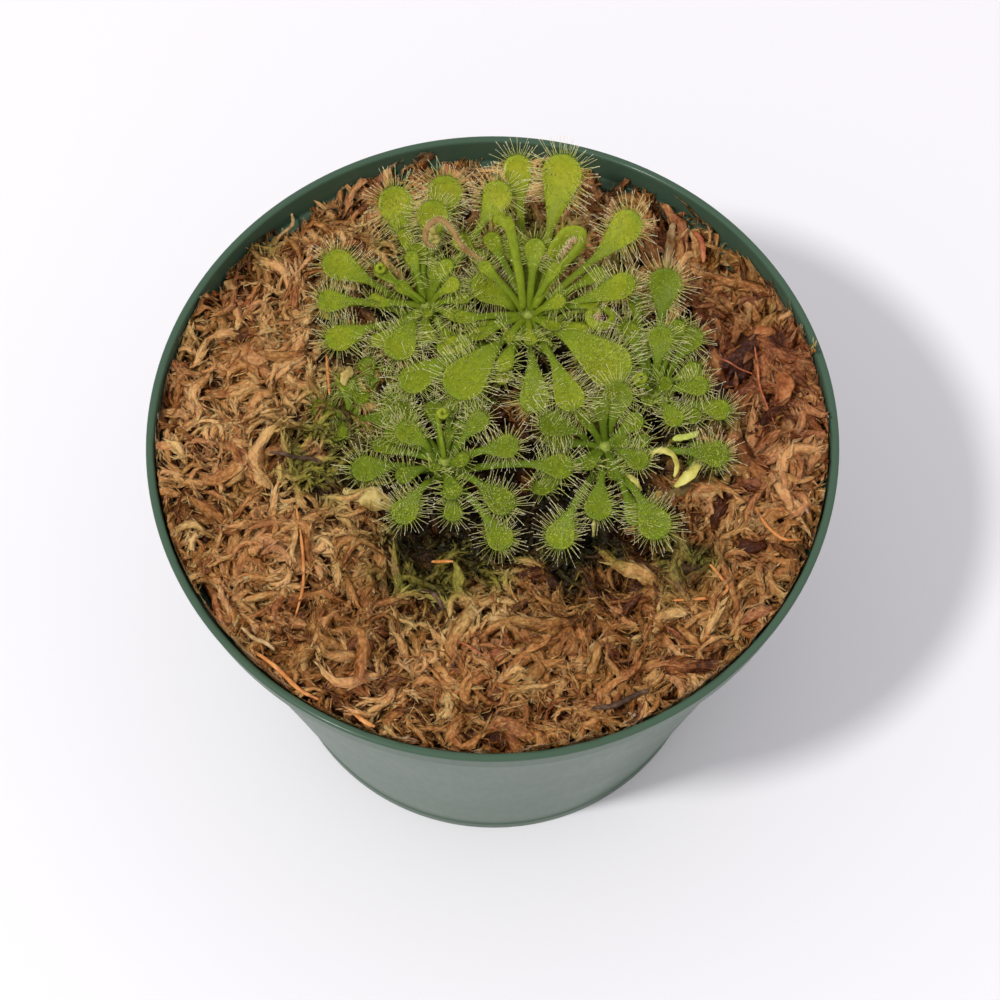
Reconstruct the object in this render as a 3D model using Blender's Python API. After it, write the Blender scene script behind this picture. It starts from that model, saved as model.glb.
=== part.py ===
"""A clump of spoon-leaved sundews growing in long-fibre moss in a round plastic pot.

Metres, +Z up. The origin is on the ground, at the middle of the pot's foot ring, and -Y is the front.
Every leaf is one loft along its own midline, so its stalk and its blade are one solid.
"""

import math

import bpy
import numpy as np
from mathutils.bvhtree import BVHTree

MM = 0.001
GAP = 0.35 * MM

# Pot
POT_HEIGHT = 80.0 * MM
RIM_RADIUS = 52.0 * MM
FOOT_RADIUS = 36.3 * MM
FOOT_BAND_HEIGHT = 2.7 * MM
FOOT_RING_WIDTH = 2.4 * MM
WALL = 1.15 * MM
COLLAR_HEIGHT = 5.4 * MM
COLLAR_STEP = 1.7 * MM
LIP_WIDTH = 1.4 * MM
LIP_HEIGHT = 1.2 * MM
LIP_BEAD = 0.5 * MM
FLOOR_HEIGHT = 4.6 * MM
POT_SIDES = 64
DRAIN_HOLES = 8
DRAIN_RADIUS = 2.5 * MM
DRAIN_CIRCLE = 29.0 * MM
LEDGE_HEIGHT = POT_HEIGHT - COLLAR_HEIGHT
LEDGE_RADIUS = RIM_RADIUS - LIP_WIDTH - COLLAR_STEP
FLOOR_EDGE_RADIUS = FOOT_RADIUS - WALL

# Moss
MOSS_EDGE_DROP = 3.2 * MM
MOSS_SLOPE = 0.035
MOSS_SIDES = 48
MOSS_RINGS = 11

# Plants
STEM_RADIUS = 1.5 * MM
ROOT_DEPTH = 9.0 * MM
ROOT_TIP_RADIUS = 0.5 * MM
ROOT_OFFSET = 0.6 * MM
STALK_WIDTH = 1.25 * MM
STALK_THICKNESS = 0.75 * MM
BLADE_THICKNESS = 0.65 * MM
BLADE_LENGTH = 1.3
OLDEST_SPRING = 2.0
YOUNGEST_SPRING = 30.0
STEEPEST_STALK = 72.0
CLEARANCE = 0.42 * MM
LIFT_STEP = 0.35 * MM
TURN_STEP = 2.5

SCAPE_RADIUS = 0.45 * MM
NEEDLE_RADIUS = 0.35 * MM

PLASTIC_GREEN = (0.040, 0.095, 0.055)
MOSS_TAN = (0.33, 0.19, 0.09)
STEM_GREEN = (0.16, 0.22, 0.05)
LEAF_GREEN = (0.26, 0.36, 0.05)
SCAPE_PINK = (0.36, 0.18, 0.09)
DEAD_CREAM = (0.62, 0.48, 0.20)
NEEDLE_ORANGE = (0.48, 0.17, 0.04)

# Humps and hollows of the moss: (x, y, height, spread) in millimetres.
MOSS_FORMS = (
    (-32, 2, 2.2, 15),
    (-26, 30, -0.8, 10),
    (30, 26, -1.2, 13),
    (38, -8, 1.2, 11),
    (7, -31, 2.2, 9),
    (-28, -26, 1.6, 12),
    (28, -29, 1.4, 10),
    (-10, -21, -3.4, 6),
    (5, -13, -2.6, 7),
    (35, -16, -1.4, 5),
    (8, 20, 1.0, 9),
)

# Rosettes: name, crown (x, y, height over the rim), then one row for each leaf, from the oldest,
# lowest one up: blade middle (x, y, height over the rim), blade width, slope of the blade in degrees.
ROSETTES = (
    ("back", (5.5, 18.5, 2.9), (
        (4.1, 38.5, 10.9, 4.4, 42),
        (-11.0, 7.6, 3.4, 5.0, -4),
        (6.3, 4.2, 4.2, 4.6, -14),
        (16.4, 9.4, 5.0, 7.4, -6),
        (-3.6, 6.8, 5.2, 6.6, 0),
        (11.2, 3.6, 5.6, 4.6, -8),
        (18.8, 20.0, 8.0, 4.8, 24),
        (0.0, 21.3, 5.2, 5.2, 16),
        (10.6, 36.5, 12.0, 6.2, 40),
        (19.9, 29.2, 9.4, 5.2, 34),
    )),
    ("left", (-10.0, 20.8, 1.8), (
        (-22.4, 14.9, 2.6, 4.6, 4),
        (-22.6, 25.8, 4.4, 5.2, 16),
        (-13.6, 13.0, 4.2, 5.0, 4),
        (-24.0, 19.6, 5.2, 3.6, 10),
        (-7.2, 37.5, 5.2, 5.4, 36),
        (-13.8, 34.0, 8.2, 5.5, 38),
        (-3.6, 23.6, 1.2, 3.8, 6),
        (0.6, 34.8, 9.1, 4.8, 38),
        (-9.0, 32.2, 7.4, 4.8, 34),
    )),
    ("front_left", (-7.2, -5.4, 1.4), (
        (0.6, -17.0, 0.6, 4.2, -16),
        (-18.2, -6.4, 1.0, 4.4, -4),
        (9.2, -6.8, 2.2, 4.2, -4),
        (-12.6, -13.2, 1.6, 4.2, -12),
        (-14.0, 3.4, 2.0, 3.6, 6),
        (-6.0, -13.4, 1.2, 2.8, -10),
        (0.6, -12.4, 3.0, 4.5, -8),
        (-11.6, -1.4, 3.4, 3.8, 8),
        (1.4, -4.6, 4.2, 3.9, 8),
        (-2.4, -0.6, 4.0, 3.2, 16),
    )),
    ("front_right", (16.8, -3.0, 1.4), (
        (10.2, -17.0, 1.4, 4.5, -14),
        (23.4, -15.2, 1.6, 5.0, -10),
        (32.4, -4.8, 2.0, 4.2, -2),
        (14.7, -12.6, 2.2, 4.2, -12),
        (9.6, -1.0, 4.0, 4.2, 4),
        (21.0, -6.2, 3.4, 3.4, 4),
        (18.6, 2.8, 4.6, 4.4, 34),
    )),
    ("right", (24.2, 5.6, 1.6), (
        (26.0, 20.2, 7.2, 5.0, 32),
        (33.4, 2.8, 1.6, 3.6, 0),
        (26.8, 0.8, 3.4, 3.0, 4),
        (29.6, 13.2, 3.6, 3.8, 12),
        (30.2, 5.6, 3.8, 3.4, 8),
        (20.8, 14.2, 4.2, 3.6, 10),
        (24.9, 12.0, 5.8, 3.9, 34),
    )),
)

# Young leaves that are still unrolling: name, foot, top and the point that the tip has reached.
SPROUTS = (
    ("leaf_unrolling_tall", (4.8, 19.0, 3.8), (2.7, 28.2, 12.2), (1.4, 30.2, 10.8)),
    ("leaf_unrolling_pink", (6.2, 18.8, 3.8), (12.0, 26.8, 11.6), (14.3, 26.3, 9.8)),
    ("leaf_unrolling_coiled", (8.0, 18.2, -1.0), (16.2, 17.8, 3.8), (17.6, 17.2, 3.0)),
)

# Route of the flower scape's midline, from its foot beside the back crown to its curled tip.
SCAPE_ROUTE = (
    (3.6, 20.9, -0.6),
    (2.9, 22.2, 1.6),
    (1.2, 24.2, 4.4),
    (-1.6, 25.6, 6.8),
    (-4.4, 26.6, 9.2),
    (-6.0, 28.2, 11.8),
    (-7.8, 29.3, 12.8),
    (-9.5, 28.8, 11.7),
    (-10.0, 27.7, 9.7),
    (-9.0, 27.3, 8.5),
    (-7.9, 27.9, 9.2),
)

# What lies loose on the moss: name, midline, width, thickness and colour.
LITTER = (
    ("dead_leaf_cream", ((-23.5, -12.5), (-20.5, -13.2), (-17.5, -13.8), (-15.0, -13.4)), 2.4, 0.8,
     DEAD_CREAM),
    ("dead_leaf_yellow", ((29.6, -6.9), (28.4, -8.3), (27.0, -9.8)), 1.7, 0.9, DEAD_CREAM),
    ("dead_leaf_brown", ((35.4, -9.2), (33.2, -12.0), (30.8, -14.4), (28.6, -16.2)), 1.8, 0.8, MOSS_TAN),
    ("needle_left", ((-29.8, -13.0), (-28.6, -19.0), (-29.2, -25.0), (-31.0, -30.0)), 0.7, 0.7,
     NEEDLE_ORANGE),
    ("needle_front", ((35.6, -19.6), (37.0, -23.4), (34.0, -26.0), (29.6, -26.4)), 0.7, 0.7,
     NEEDLE_ORANGE),
    ("needle_right", ((40.6, -10.6), (42.2, -13.4), (44.2, -16.2)), 0.7, 0.7, NEEDLE_ORANGE),
)

SPOON_OUTLINE = ((0.0, 0.34), (0.2, 0.66), (0.45, 0.96), (0.66, 1.0), (0.86, 0.76), (1.0, 0.24))


def clear_scene():
    for thing in list(bpy.data.objects):
        bpy.data.objects.remove(thing, do_unlink=True)


def finish(name, colour, roughness):
    """A plain Principled material."""
    material = bpy.data.materials.new(name)
    material.use_nodes = True
    shader = material.node_tree.nodes["Principled BSDF"]
    shader.inputs["Base Color"].default_value = (*colour, 1.0)
    shader.inputs["Roughness"].default_value = roughness
    return material


def make_object(name, points, faces, material):
    mesh = bpy.data.meshes.new(name)
    mesh.from_pydata([tuple(point) for point in points], [], faces)
    mesh.materials.append(material)
    solid = bpy.data.objects.new(name, mesh)
    bpy.context.scene.collection.objects.link(solid)
    mesh.shade_smooth()
    mesh.set_sharp_from_angle(angle=math.radians(40))
    return solid


def tube_faces(rings, sides, first_cap, last_cap):
    """Quads between successive rings of equal count, and a cap at each closed end."""
    faces = []
    for ring in range(rings - 1):
        for side in range(sides):
            turn = (side + 1) % sides
            low = ring * sides
            high = low + sides
            faces.append((low + side, low + turn, high + turn, high + side))
    if first_cap:
        faces.append(tuple(reversed(range(sides))))
    if last_cap:
        faces.append(tuple(range((rings - 1) * sides, rings * sides)))
    return faces


def ring_points(radius, height, sides):
    angles = np.arange(sides) * 2 * math.pi / sides
    return np.column_stack((radius * np.cos(angles), radius * np.sin(angles), np.full(sides, height)))


def lathe(name, profile, sides, material):
    """A turned solid. The profile goes up the axis as (radius, height) and both ends are capped."""
    points = np.vstack([ring_points(radius, height, sides) for radius, height in profile])
    return make_object(name, points, tube_faces(len(profile), sides, True, True), material)


def cut(solid, cutter):
    cutter.hide_render = True
    cutter.display_type = "WIRE"
    difference = solid.modifiers.new(cutter.name, "BOOLEAN")
    difference.operation = "DIFFERENCE"
    difference.solver = "EXACT"
    difference.object = cutter


# Pot

def inner_wall_radius(height):
    """Radius of the pot's tapered inner wall, which runs straight from its floor to its ledge."""
    share = (height - FLOOR_HEIGHT) / (LEDGE_HEIGHT - FLOOR_HEIGHT)
    return FLOOR_EDGE_RADIUS + share * (LEDGE_RADIUS - FLOOR_EDGE_RADIUS)


def pot_profile():
    """From the middle of the underside, out round the foot, over the lip and back to the floor."""
    ring_inside = FOOT_RADIUS - FOOT_RING_WIDTH
    underside = FLOOR_HEIGHT - WALL
    waist = FOOT_RADIUS - 0.1 * MM
    collar = RIM_RADIUS - LIP_BEAD
    lip_foot = POT_HEIGHT - LIP_HEIGHT
    return (
        (0.3 * MM, underside),
        (ring_inside - 0.5 * MM, underside),
        (ring_inside, underside - 0.5 * MM),
        (ring_inside, 0.0),
        (FOOT_RADIUS - 0.2 * MM, 0.0),
        (FOOT_RADIUS, 0.3 * MM),
        (FOOT_RADIUS + 0.3 * MM, FOOT_BAND_HEIGHT),
        (waist, FOOT_BAND_HEIGHT + 0.4 * MM),
        (LEDGE_RADIUS + WALL, LEDGE_HEIGHT - WALL),
        (collar - 0.3 * MM, LEDGE_HEIGHT - 0.5 * MM),
        (collar, lip_foot),
        (RIM_RADIUS - 0.1 * MM, lip_foot + 0.1 * MM),
        (RIM_RADIUS, lip_foot + 0.3 * MM),
        (RIM_RADIUS, POT_HEIGHT - 0.5 * MM),
        (RIM_RADIUS - 0.2 * MM, POT_HEIGHT - 0.15 * MM),
        (RIM_RADIUS - 0.5 * LIP_WIDTH, POT_HEIGHT),
        (RIM_RADIUS - LIP_WIDTH + 0.2 * MM, POT_HEIGHT - 0.15 * MM),
        (RIM_RADIUS - LIP_WIDTH, POT_HEIGHT - 0.5 * MM),
        (LEDGE_RADIUS + COLLAR_STEP - 0.3 * MM, LEDGE_HEIGHT + 0.3 * MM),
        (LEDGE_RADIUS + 0.2 * MM, LEDGE_HEIGHT),
        (LEDGE_RADIUS, LEDGE_HEIGHT - 0.3 * MM),
        (FLOOR_EDGE_RADIUS, FLOOR_HEIGHT + 0.6 * MM),
        (FLOOR_EDGE_RADIUS - 0.8 * MM, FLOOR_HEIGHT),
        (0.3 * MM, FLOOR_HEIGHT),
    )


def drill_points(middle, sides):
    low = ring_points(DRAIN_RADIUS, FLOOR_HEIGHT - 3 * WALL, sides) + middle
    high = ring_points(DRAIN_RADIUS, FLOOR_HEIGHT + 2 * WALL, sides) + middle
    return np.vstack((low, high))


def build_pot():
    plastic = finish("pot_plastic", PLASTIC_GREEN, 0.3)
    profile = pot_profile()
    points = np.vstack([ring_points(radius, height, POT_SIDES) for radius, height in profile])
    faces = tube_faces(len(profile), POT_SIDES, True, True)
    pot = make_object("pot", points, faces, plastic)

    sides = 12
    points = []
    faces = []
    for hole in range(DRAIN_HOLES):
        angle = 2 * math.pi * (hole + 0.5) / DRAIN_HOLES
        middle = np.array((DRAIN_CIRCLE * math.cos(angle), DRAIN_CIRCLE * math.sin(angle), 0.0))
        shift = len(points)
        points.extend(drill_points(middle, sides))
        for face in tube_faces(2, sides, True, True):
            faces.append(tuple(corner + shift for corner in face))
    cut(pot, make_object("drain_drills", points, faces, plastic))
    return pot


# Moss

def moss_height(x, y):
    """Gentle slope from the back up to the front, plus Gaussian humps and hollows."""
    height = POT_HEIGHT - MOSS_EDGE_DROP - MOSS_SLOPE * y
    for form_x, form_y, rise, spread in MOSS_FORMS:
        distance = (x - form_x * MM) ** 2 + (y - form_y * MM) ** 2
        height = height + rise * MM * np.exp(-distance / (2 * (spread * MM) ** 2))
    return height


def moss_wall_radius(height):
    return inner_wall_radius(height) - GAP


def moss_edge_radius(height):
    """The moss spreads over the pot's ledge where it stands higher than the ledge."""
    spread = np.clip((height - LEDGE_HEIGHT - 0.6 * MM) / (1.5 * MM), 0.0, 1.0)
    return LEDGE_RADIUS - GAP + spread * (COLLAR_STEP - 0.4 * MM)


def build_moss(crowns):
    moss = finish("moss_fibre", MOSS_TAN, 0.9)
    angles = np.arange(MOSS_SIDES) * 2 * math.pi / MOSS_SIDES
    across = np.column_stack((np.cos(angles), np.sin(angles)))
    bottom = FLOOR_HEIGHT + GAP
    shoulder = LEDGE_HEIGHT - 2.5 * MM
    edge_top = moss_height(LEDGE_RADIUS * across[:, 0], LEDGE_RADIUS * across[:, 1])
    edge_radius = moss_edge_radius(edge_top)
    over_ledge = np.minimum(edge_top - 0.3 * MM, LEDGE_HEIGHT + 0.5 * MM)

    rings = [
        ring_points(moss_wall_radius(bottom + 1.5 * MM) - 1.2 * MM, bottom, MOSS_SIDES),
        ring_points(moss_wall_radius(bottom + 1.5 * MM), bottom + 1.5 * MM, MOSS_SIDES),
        ring_points(moss_wall_radius(shoulder), shoulder, MOSS_SIDES),
        np.column_stack((across * (LEDGE_RADIUS - GAP), over_ledge)),
    ]
    for share in np.linspace(1.0, 1.0 / MOSS_RINGS, MOSS_RINGS):
        flat = across * (edge_radius * share)[:, None]
        rings.append(np.column_stack((flat, moss_height(flat[:, 0], flat[:, 1]))))
    faces = tube_faces(len(rings), MOSS_SIDES, True, False)
    points = np.vstack(rings)
    top = len(points)
    points = np.vstack((points, (0.0, 0.0, moss_height(0.0, 0.0))))
    last = top - MOSS_SIDES
    for side in range(MOSS_SIDES):
        faces.append((last + side, last + (side + 1) % MOSS_SIDES, top))
    bed = make_object("moss_bed", points, faces, moss)

    for name, middle in crowns:
        profile = crown_profile(middle, GAP)
        cut(bed, shifted_lathe("socket_" + name, profile, middle, moss))
    return bed


# Crowns and leaves

def crown_profile(middle, swell):
    """A root that tapers downwards, below a short stem with a rounded top."""
    ground = float(moss_height(middle[0], middle[1]))
    top = middle[2]
    return (
        (ROOT_TIP_RADIUS + swell, ground - ROOT_DEPTH - swell),
        (0.75 * STEM_RADIUS + swell, ground - 0.5 * ROOT_DEPTH),
        (STEM_RADIUS + swell, ground - 1.0 * MM),
        (STEM_RADIUS + swell, top - 0.8 * MM),
        (0.6 * STEM_RADIUS + swell, top),
    )


def shifted_lathe(name, profile, middle, material):
    solid = lathe(name, profile, 12, material)
    solid.location = (middle[0], middle[1], 0.0)
    return solid


def leaf_midline(root, blade, width, slope, spring):
    """A Hermite arc from the root up to the blade's heel, then the blade on its own straight slope."""
    run = blade - root
    level = np.array((run[0], run[1], 0.0))
    reach = np.linalg.norm(level)
    level = level / reach
    up = np.array((0.0, 0.0, 1.0))
    tilt = math.radians(slope)
    along = level * math.cos(tilt) + up * math.sin(tilt)
    half = 0.5 * BLADE_LENGTH * width
    heel = blade - along * half
    leave = math.atan2(heel[2] - root[2], reach) + math.radians(spring)
    leave = min(leave, math.radians(STEEPEST_STALK))
    length = np.linalg.norm(heel - root)
    start = (level * math.cos(leave) + up * math.sin(leave)) * length
    end = along * length
    share = np.linspace(0.0, 1.0, 6)[:, None]
    arc = (
        (2 * share**3 - 3 * share**2 + 1) * root
        + (share**3 - 2 * share**2 + share) * start
        + (3 * share**2 - 2 * share**3) * heel
        + (share**3 - share**2) * end
    )
    stops = np.array([stop for stop, _ in SPOON_OUTLINE])[1:, None]
    return np.vstack((arc, heel + along * (2 * half) * stops))


def loft(midline, widths, thicknesses):
    """Lens sections of six points, square to the midline, whose broad side stays level."""
    tangents = np.gradient(midline, axis=0)
    tangents /= np.linalg.norm(tangents, axis=1)[:, None]
    sides = np.cross(np.array((0.0, 0.0, 1.0)), tangents)
    sides /= np.linalg.norm(sides, axis=1)[:, None]
    normals = np.cross(tangents, sides)
    corners = ((1.0, 0.0), (0.5, 1.0), (-0.5, 1.0), (-1.0, 0.0), (-0.5, -1.0), (0.5, -1.0))
    rings = [
        midline + sides * (0.5 * across * widths)[:, None] + normals * (0.5 * over * thicknesses)[:, None]
        for across, over in corners
    ]
    points = np.stack(rings, axis=1).reshape(-1, 3)
    return points, tube_faces(len(midline), len(corners), True, True)


def leaf_shape(root, blade, width, slope, spring, swell):
    midline = leaf_midline(root, blade, width, slope, spring)
    stalk = np.array((0.9, 0.9, 0.95, 1.0, 1.1)) * STALK_WIDTH
    spoon = np.array([share for _, share in SPOON_OUTLINE]) * width
    widths = np.concatenate((stalk, spoon)) + swell
    thicknesses = np.full(len(widths), BLADE_THICKNESS)
    thicknesses[:4] = STALK_THICKNESS
    thicknesses[-1] = 0.5 * BLADE_THICKNESS
    return loft(midline, widths, thicknesses + swell)


def surface_tree(points, faces):
    return BVHTree.FromPolygons([tuple(point) for point in points], faces)


def is_clear(points, faces, settled):
    tree = surface_tree(points, faces)
    return all(not tree.overlap(other) for other in settled)


def small_moves():
    """Lifts and turns of growing size, in the order in which a leaf tries them."""
    moves = [(lift * LIFT_STEP, turn * TURN_STEP) for lift in range(-8, 14) for turn in range(-6, 7)]
    moves.sort(key=lambda move: (abs(move[0]) / LIFT_STEP + abs(move[1]) / TURN_STEP, move))
    return moves


def turned(point, centre, degrees):
    angle = math.radians(degrees)
    x, y = point[0] - centre[0], point[1] - centre[1]
    return np.array((
        centre[0] + x * math.cos(angle) - y * math.sin(angle),
        centre[1] + x * math.sin(angle) + y * math.cos(angle),
        point[2],
    ))


def grow_leaf(name, crown, height, spring, row, settled, material):
    """A leaf takes the nearest place to its own in which it touches nothing that has grown before it."""
    blade = over_rim(row[:3])
    width = row[3] * MM
    for lift, turn in small_moves():
        place = turned(blade, crown, turn) + np.array((0.0, 0.0, lift))
        level = np.array((place[0] - crown[0], place[1] - crown[1], 0.0))
        level /= np.linalg.norm(level)
        root = np.array((crown[0], crown[1], height)) + level * (STEM_RADIUS + ROOT_OFFSET)
        points, faces = leaf_shape(root, place, width, row[4], spring, CLEARANCE)
        if is_clear(points, faces, settled):
            points, faces = leaf_shape(root, place, width, row[4], spring, 0.0)
            settled.append(surface_tree(points, faces))
            make_object(name, points, faces, material)
            return
    raise RuntimeError("no clear place for " + name)


def over_rim(place):
    """From millimetres, with the height counted from the rim, to metres from the ground."""
    return np.array(place) * MM + np.array((0.0, 0.0, POT_HEIGHT))


def smooth_route(stops, count):
    """A Catmull-Rom curve through the stops, sampled evenly in its parameter."""
    stops = np.array(stops, dtype=float)
    padded = np.vstack((2 * stops[0] - stops[1], stops, 2 * stops[-1] - stops[-2]))
    places = np.linspace(0.0, len(stops) - 1.000001, count)
    spans = places.astype(int)
    share = (places - spans)[:, None]
    before, first, second, after = (padded[spans + step] for step in range(4))
    return 0.5 * (
        2 * first
        + (second - before) * share
        + (2 * before - 5 * first + 4 * second - after) * share**2
        + (3 * first - before - 3 * second + after) * share**3
    )


def round_tube(midline, radii, sides):
    """Rings square to the midline, carried along it without twist."""
    tangents = np.gradient(midline, axis=0)
    tangents /= np.linalg.norm(tangents, axis=1)[:, None]
    side = np.cross(tangents[0], (0.0, 0.0, 1.0))
    if np.linalg.norm(side) < 0.1:
        side = np.cross(tangents[0], (1.0, 0.0, 0.0))
    angles = np.arange(sides) * 2 * math.pi / sides
    rings = []
    for middle, tangent, radius in zip(midline, tangents, radii):
        side = side - tangent * np.dot(side, tangent)
        side = side / np.linalg.norm(side)
        over = np.cross(tangent, side)
        rings.append(middle + radius * (np.outer(np.cos(angles), side) + np.outer(np.sin(angles), over)))
    return np.vstack(rings), tube_faces(len(midline), sides, True, True)


def build_plants(bed):
    stem_green = finish("stem_skin", STEM_GREEN, 0.6)
    leaf_green = finish("leaf_skin", LEAF_GREEN, 0.45)
    scape_pink = finish("scape_skin", SCAPE_PINK, 0.6)

    depsgraph = bpy.context.evaluated_depsgraph_get()
    settled = [BVHTree.FromObject(bed, depsgraph)]

    for name, place, _ in ROSETTES:
        middle = over_rim(place)
        crown = shifted_lathe("crown_" + name, crown_profile(middle, 0.0), middle, stem_green)
        shift = np.array(crown.location)
        points = [np.array(vertex.co) + shift for vertex in crown.data.vertices]
        settled.append(surface_tree(points, [tuple(face.vertices) for face in crown.data.polygons]))

    route = over_rim(smooth_route(SCAPE_ROUTE, 40))
    points, faces = round_tube(route, np.linspace(1.15, 0.9, len(route)) * SCAPE_RADIUS, 8)
    make_object("flower_scape", points, faces, scape_pink)
    settled.append(surface_tree(points, faces))

    for name, foot, top, tip in SPROUTS:
        rise = 0.5 * (np.array(foot) + np.array(top)) + np.array((0.0, 0.0, 1.2))
        route = over_rim(smooth_route((foot, rise, top, tip), 14))
        radii = np.interp(np.linspace(0, 1, len(route)), (0.0, 0.5, 0.8, 1.0), (0.55, 0.6, 0.9, 0.7)) * MM
        points, faces = round_tube(route, radii, 8)
        make_object(name, points, faces, leaf_green)
        settled.append(surface_tree(points, faces))

    for name, place, leaves in ROSETTES:
        crown = over_rim(place)
        ground = float(moss_height(crown[0], crown[1])) + 0.9 * MM
        heights = np.linspace(ground, crown[2] - 0.8 * MM, len(leaves))
        springs = np.linspace(OLDEST_SPRING, YOUNGEST_SPRING, len(leaves))
        for number, row in enumerate(leaves):
            leaf_name = f"leaf_{name}_{number + 1:02d}"
            grow_leaf(leaf_name, crown, heights[number], springs[number], row, settled, leaf_green)


def build_litter(bed):
    """Flat strips that follow the moss a hair above its highest point below them."""
    tree = BVHTree.FromObject(bed, bpy.context.evaluated_depsgraph_get())
    for name, stops, width, thickness, colour in LITTER:
        flat = smooth_route(stops, 12) * MM
        floor = [tree.ray_cast((x, y, 2 * POT_HEIGHT), (0.0, 0.0, -1.0))[0][2] for x, y in flat]
        rise = GAP + 0.5 * thickness * MM
        midline = np.column_stack((flat, np.array(floor) + rise))
        taper = np.interp(np.linspace(0, 1, len(flat)), (0.0, 0.2, 0.8, 1.0), (0.5, 1.0, 1.0, 0.4))
        points, faces = loft(midline, taper * width * MM, np.full(len(flat), thickness * MM))
        make_object(name, points, faces, finish(name + "_skin", colour, 0.7))


clear_scene()
build_pot()
CROWNS = [(name, over_rim(place)) for name, place, _ in ROSETTES]
MOSS_BED = build_moss(CROWNS)
build_plants(MOSS_BED)
build_litter(MOSS_BED)
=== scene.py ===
"""A spoon-leaved sundew in a green plastic pot of long-fibre moss: its finished surfaces."""

import math

import bmesh
import bpy
import numpy as np
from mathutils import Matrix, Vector


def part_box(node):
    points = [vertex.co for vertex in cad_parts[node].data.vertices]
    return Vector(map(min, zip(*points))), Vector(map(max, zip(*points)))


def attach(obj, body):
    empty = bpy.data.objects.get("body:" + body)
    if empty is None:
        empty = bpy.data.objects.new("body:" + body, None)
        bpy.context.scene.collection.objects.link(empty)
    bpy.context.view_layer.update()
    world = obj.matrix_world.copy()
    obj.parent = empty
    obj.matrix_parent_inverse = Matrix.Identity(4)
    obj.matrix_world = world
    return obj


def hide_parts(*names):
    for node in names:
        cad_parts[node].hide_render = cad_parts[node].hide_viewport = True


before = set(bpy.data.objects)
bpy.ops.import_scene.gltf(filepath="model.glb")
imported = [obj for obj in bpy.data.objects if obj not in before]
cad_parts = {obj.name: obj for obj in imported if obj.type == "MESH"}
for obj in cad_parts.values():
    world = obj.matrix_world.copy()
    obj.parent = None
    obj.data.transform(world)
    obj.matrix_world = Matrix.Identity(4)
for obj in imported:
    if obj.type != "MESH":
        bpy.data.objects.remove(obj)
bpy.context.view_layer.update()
MM = 0.001

# Camera, light and floor.
# A pale floor sheet under a white sky, one soft lamp high on the left in front, and a long lens
# that looks steeply down on the rim of the pot.

pot_low, pot_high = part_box("pot")
RIM_RADIUS = 0.5 * (pot_high[0] - pot_low[0])
RIM_HEIGHT = pot_high[2]
VIEW_ELEVATION = math.radians(64.1)
VIEW_DISTANCE = 8.08 * RIM_RADIUS
AIM = Vector((0.020 * RIM_RADIUS, -0.216 * RIM_RADIUS, RIM_HEIGHT))
LENS = 100.8
LAMP_PLACE = Vector((-0.508, -0.410, 1.25))
LAMP_WATTS = 10.3
LAMP_ACROSS = 0.126
SKY_TINT = (1.0, 0.97, 1.02, 1.0)
SKY_STRENGTH = 0.75
FLOOR_WHITE = (0.86, 0.85, 0.86, 1.0)
FLOOR_REACH = 4.0

scene = bpy.context.scene
scene.view_settings.view_transform = "Standard"


def aimed(name, data, place, target):
    """An object at a place, with its -Z axis turned to the target."""
    made = bpy.data.objects.new(name, data)
    made.location = place
    made.rotation_euler = (target - made.location).to_track_quat("-Z", "Y").to_euler()
    scene.collection.objects.link(made)
    return made


back, up = VIEW_DISTANCE * math.cos(VIEW_ELEVATION), VIEW_DISTANCE * math.sin(VIEW_ELEVATION)
camera = aimed("camera", bpy.data.cameras.new("camera"), (0.0, -back, RIM_HEIGHT + up), AIM)
camera.data.sensor_width = 36.0
camera.data.lens = LENS
scene.camera = camera

lamp = aimed("soft_lamp", bpy.data.lights.new("soft_lamp", "AREA"), LAMP_PLACE, Vector((0, 0, 0)))
lamp.data.shape = "DISK"
lamp.data.size = LAMP_ACROSS
lamp.data.energy = LAMP_WATTS

sky = bpy.data.worlds.new("white_sky")
sky.use_nodes = True
sky.node_tree.nodes["Background"].inputs["Color"].default_value = SKY_TINT
sky.node_tree.nodes["Background"].inputs["Strength"].default_value = SKY_STRENGTH
scene.world = sky


def build_mesh(name, points, *face_blocks):
    """A smooth mesh object from an array of points and arrays of faces, one corner count each."""
    mesh = bpy.data.meshes.new(name)
    mesh.vertices.add(len(points))
    mesh.vertices.foreach_set("co", np.asarray(points, dtype=np.float32).ravel())
    corners = np.concatenate([block.ravel() for block in face_blocks]).astype(np.int32)
    sizes = np.concatenate([np.full(len(block), block.shape[1]) for block in face_blocks])
    starts = np.concatenate(([0], np.cumsum(sizes)[:-1])).astype(np.int32)
    mesh.loops.add(len(corners))
    mesh.loops.foreach_set("vertex_index", corners)
    mesh.polygons.add(len(sizes))
    mesh.polygons.foreach_set("loop_start", starts)
    mesh.update(calc_edges=True)
    mesh.validate()
    mesh.shade_smooth()
    piece = bpy.data.objects.new(name, mesh)
    scene.collection.objects.link(piece)
    return piece


def new_material(name, constants):
    """A Principled material with plain values on its sockets."""
    material = bpy.data.materials.new(name)
    material.use_nodes = True
    for socket, value in constants.items():
        material.node_tree.nodes["Principled BSDF"].inputs[socket].default_value = value
    return material


floor_corners = np.array([(-1, -1, 0), (1, -1, 0), (1, 1, 0), (-1, 1, 0)]) * FLOOR_REACH
floor = build_mesh("floor", floor_corners, np.array([[0, 1, 2, 3]]))
floor.data.materials.append(new_material("floor_paint", {"Base Color": FLOOR_WHITE, "Roughness": 0.75}))


# Pot.
# A four-inch nursery pot of thin injection-moulded green polypropylene: a tapered wall on a foot
# ring, a stepped-out collar, a small rolled lip, and holes through the raised floor for draining.

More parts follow.
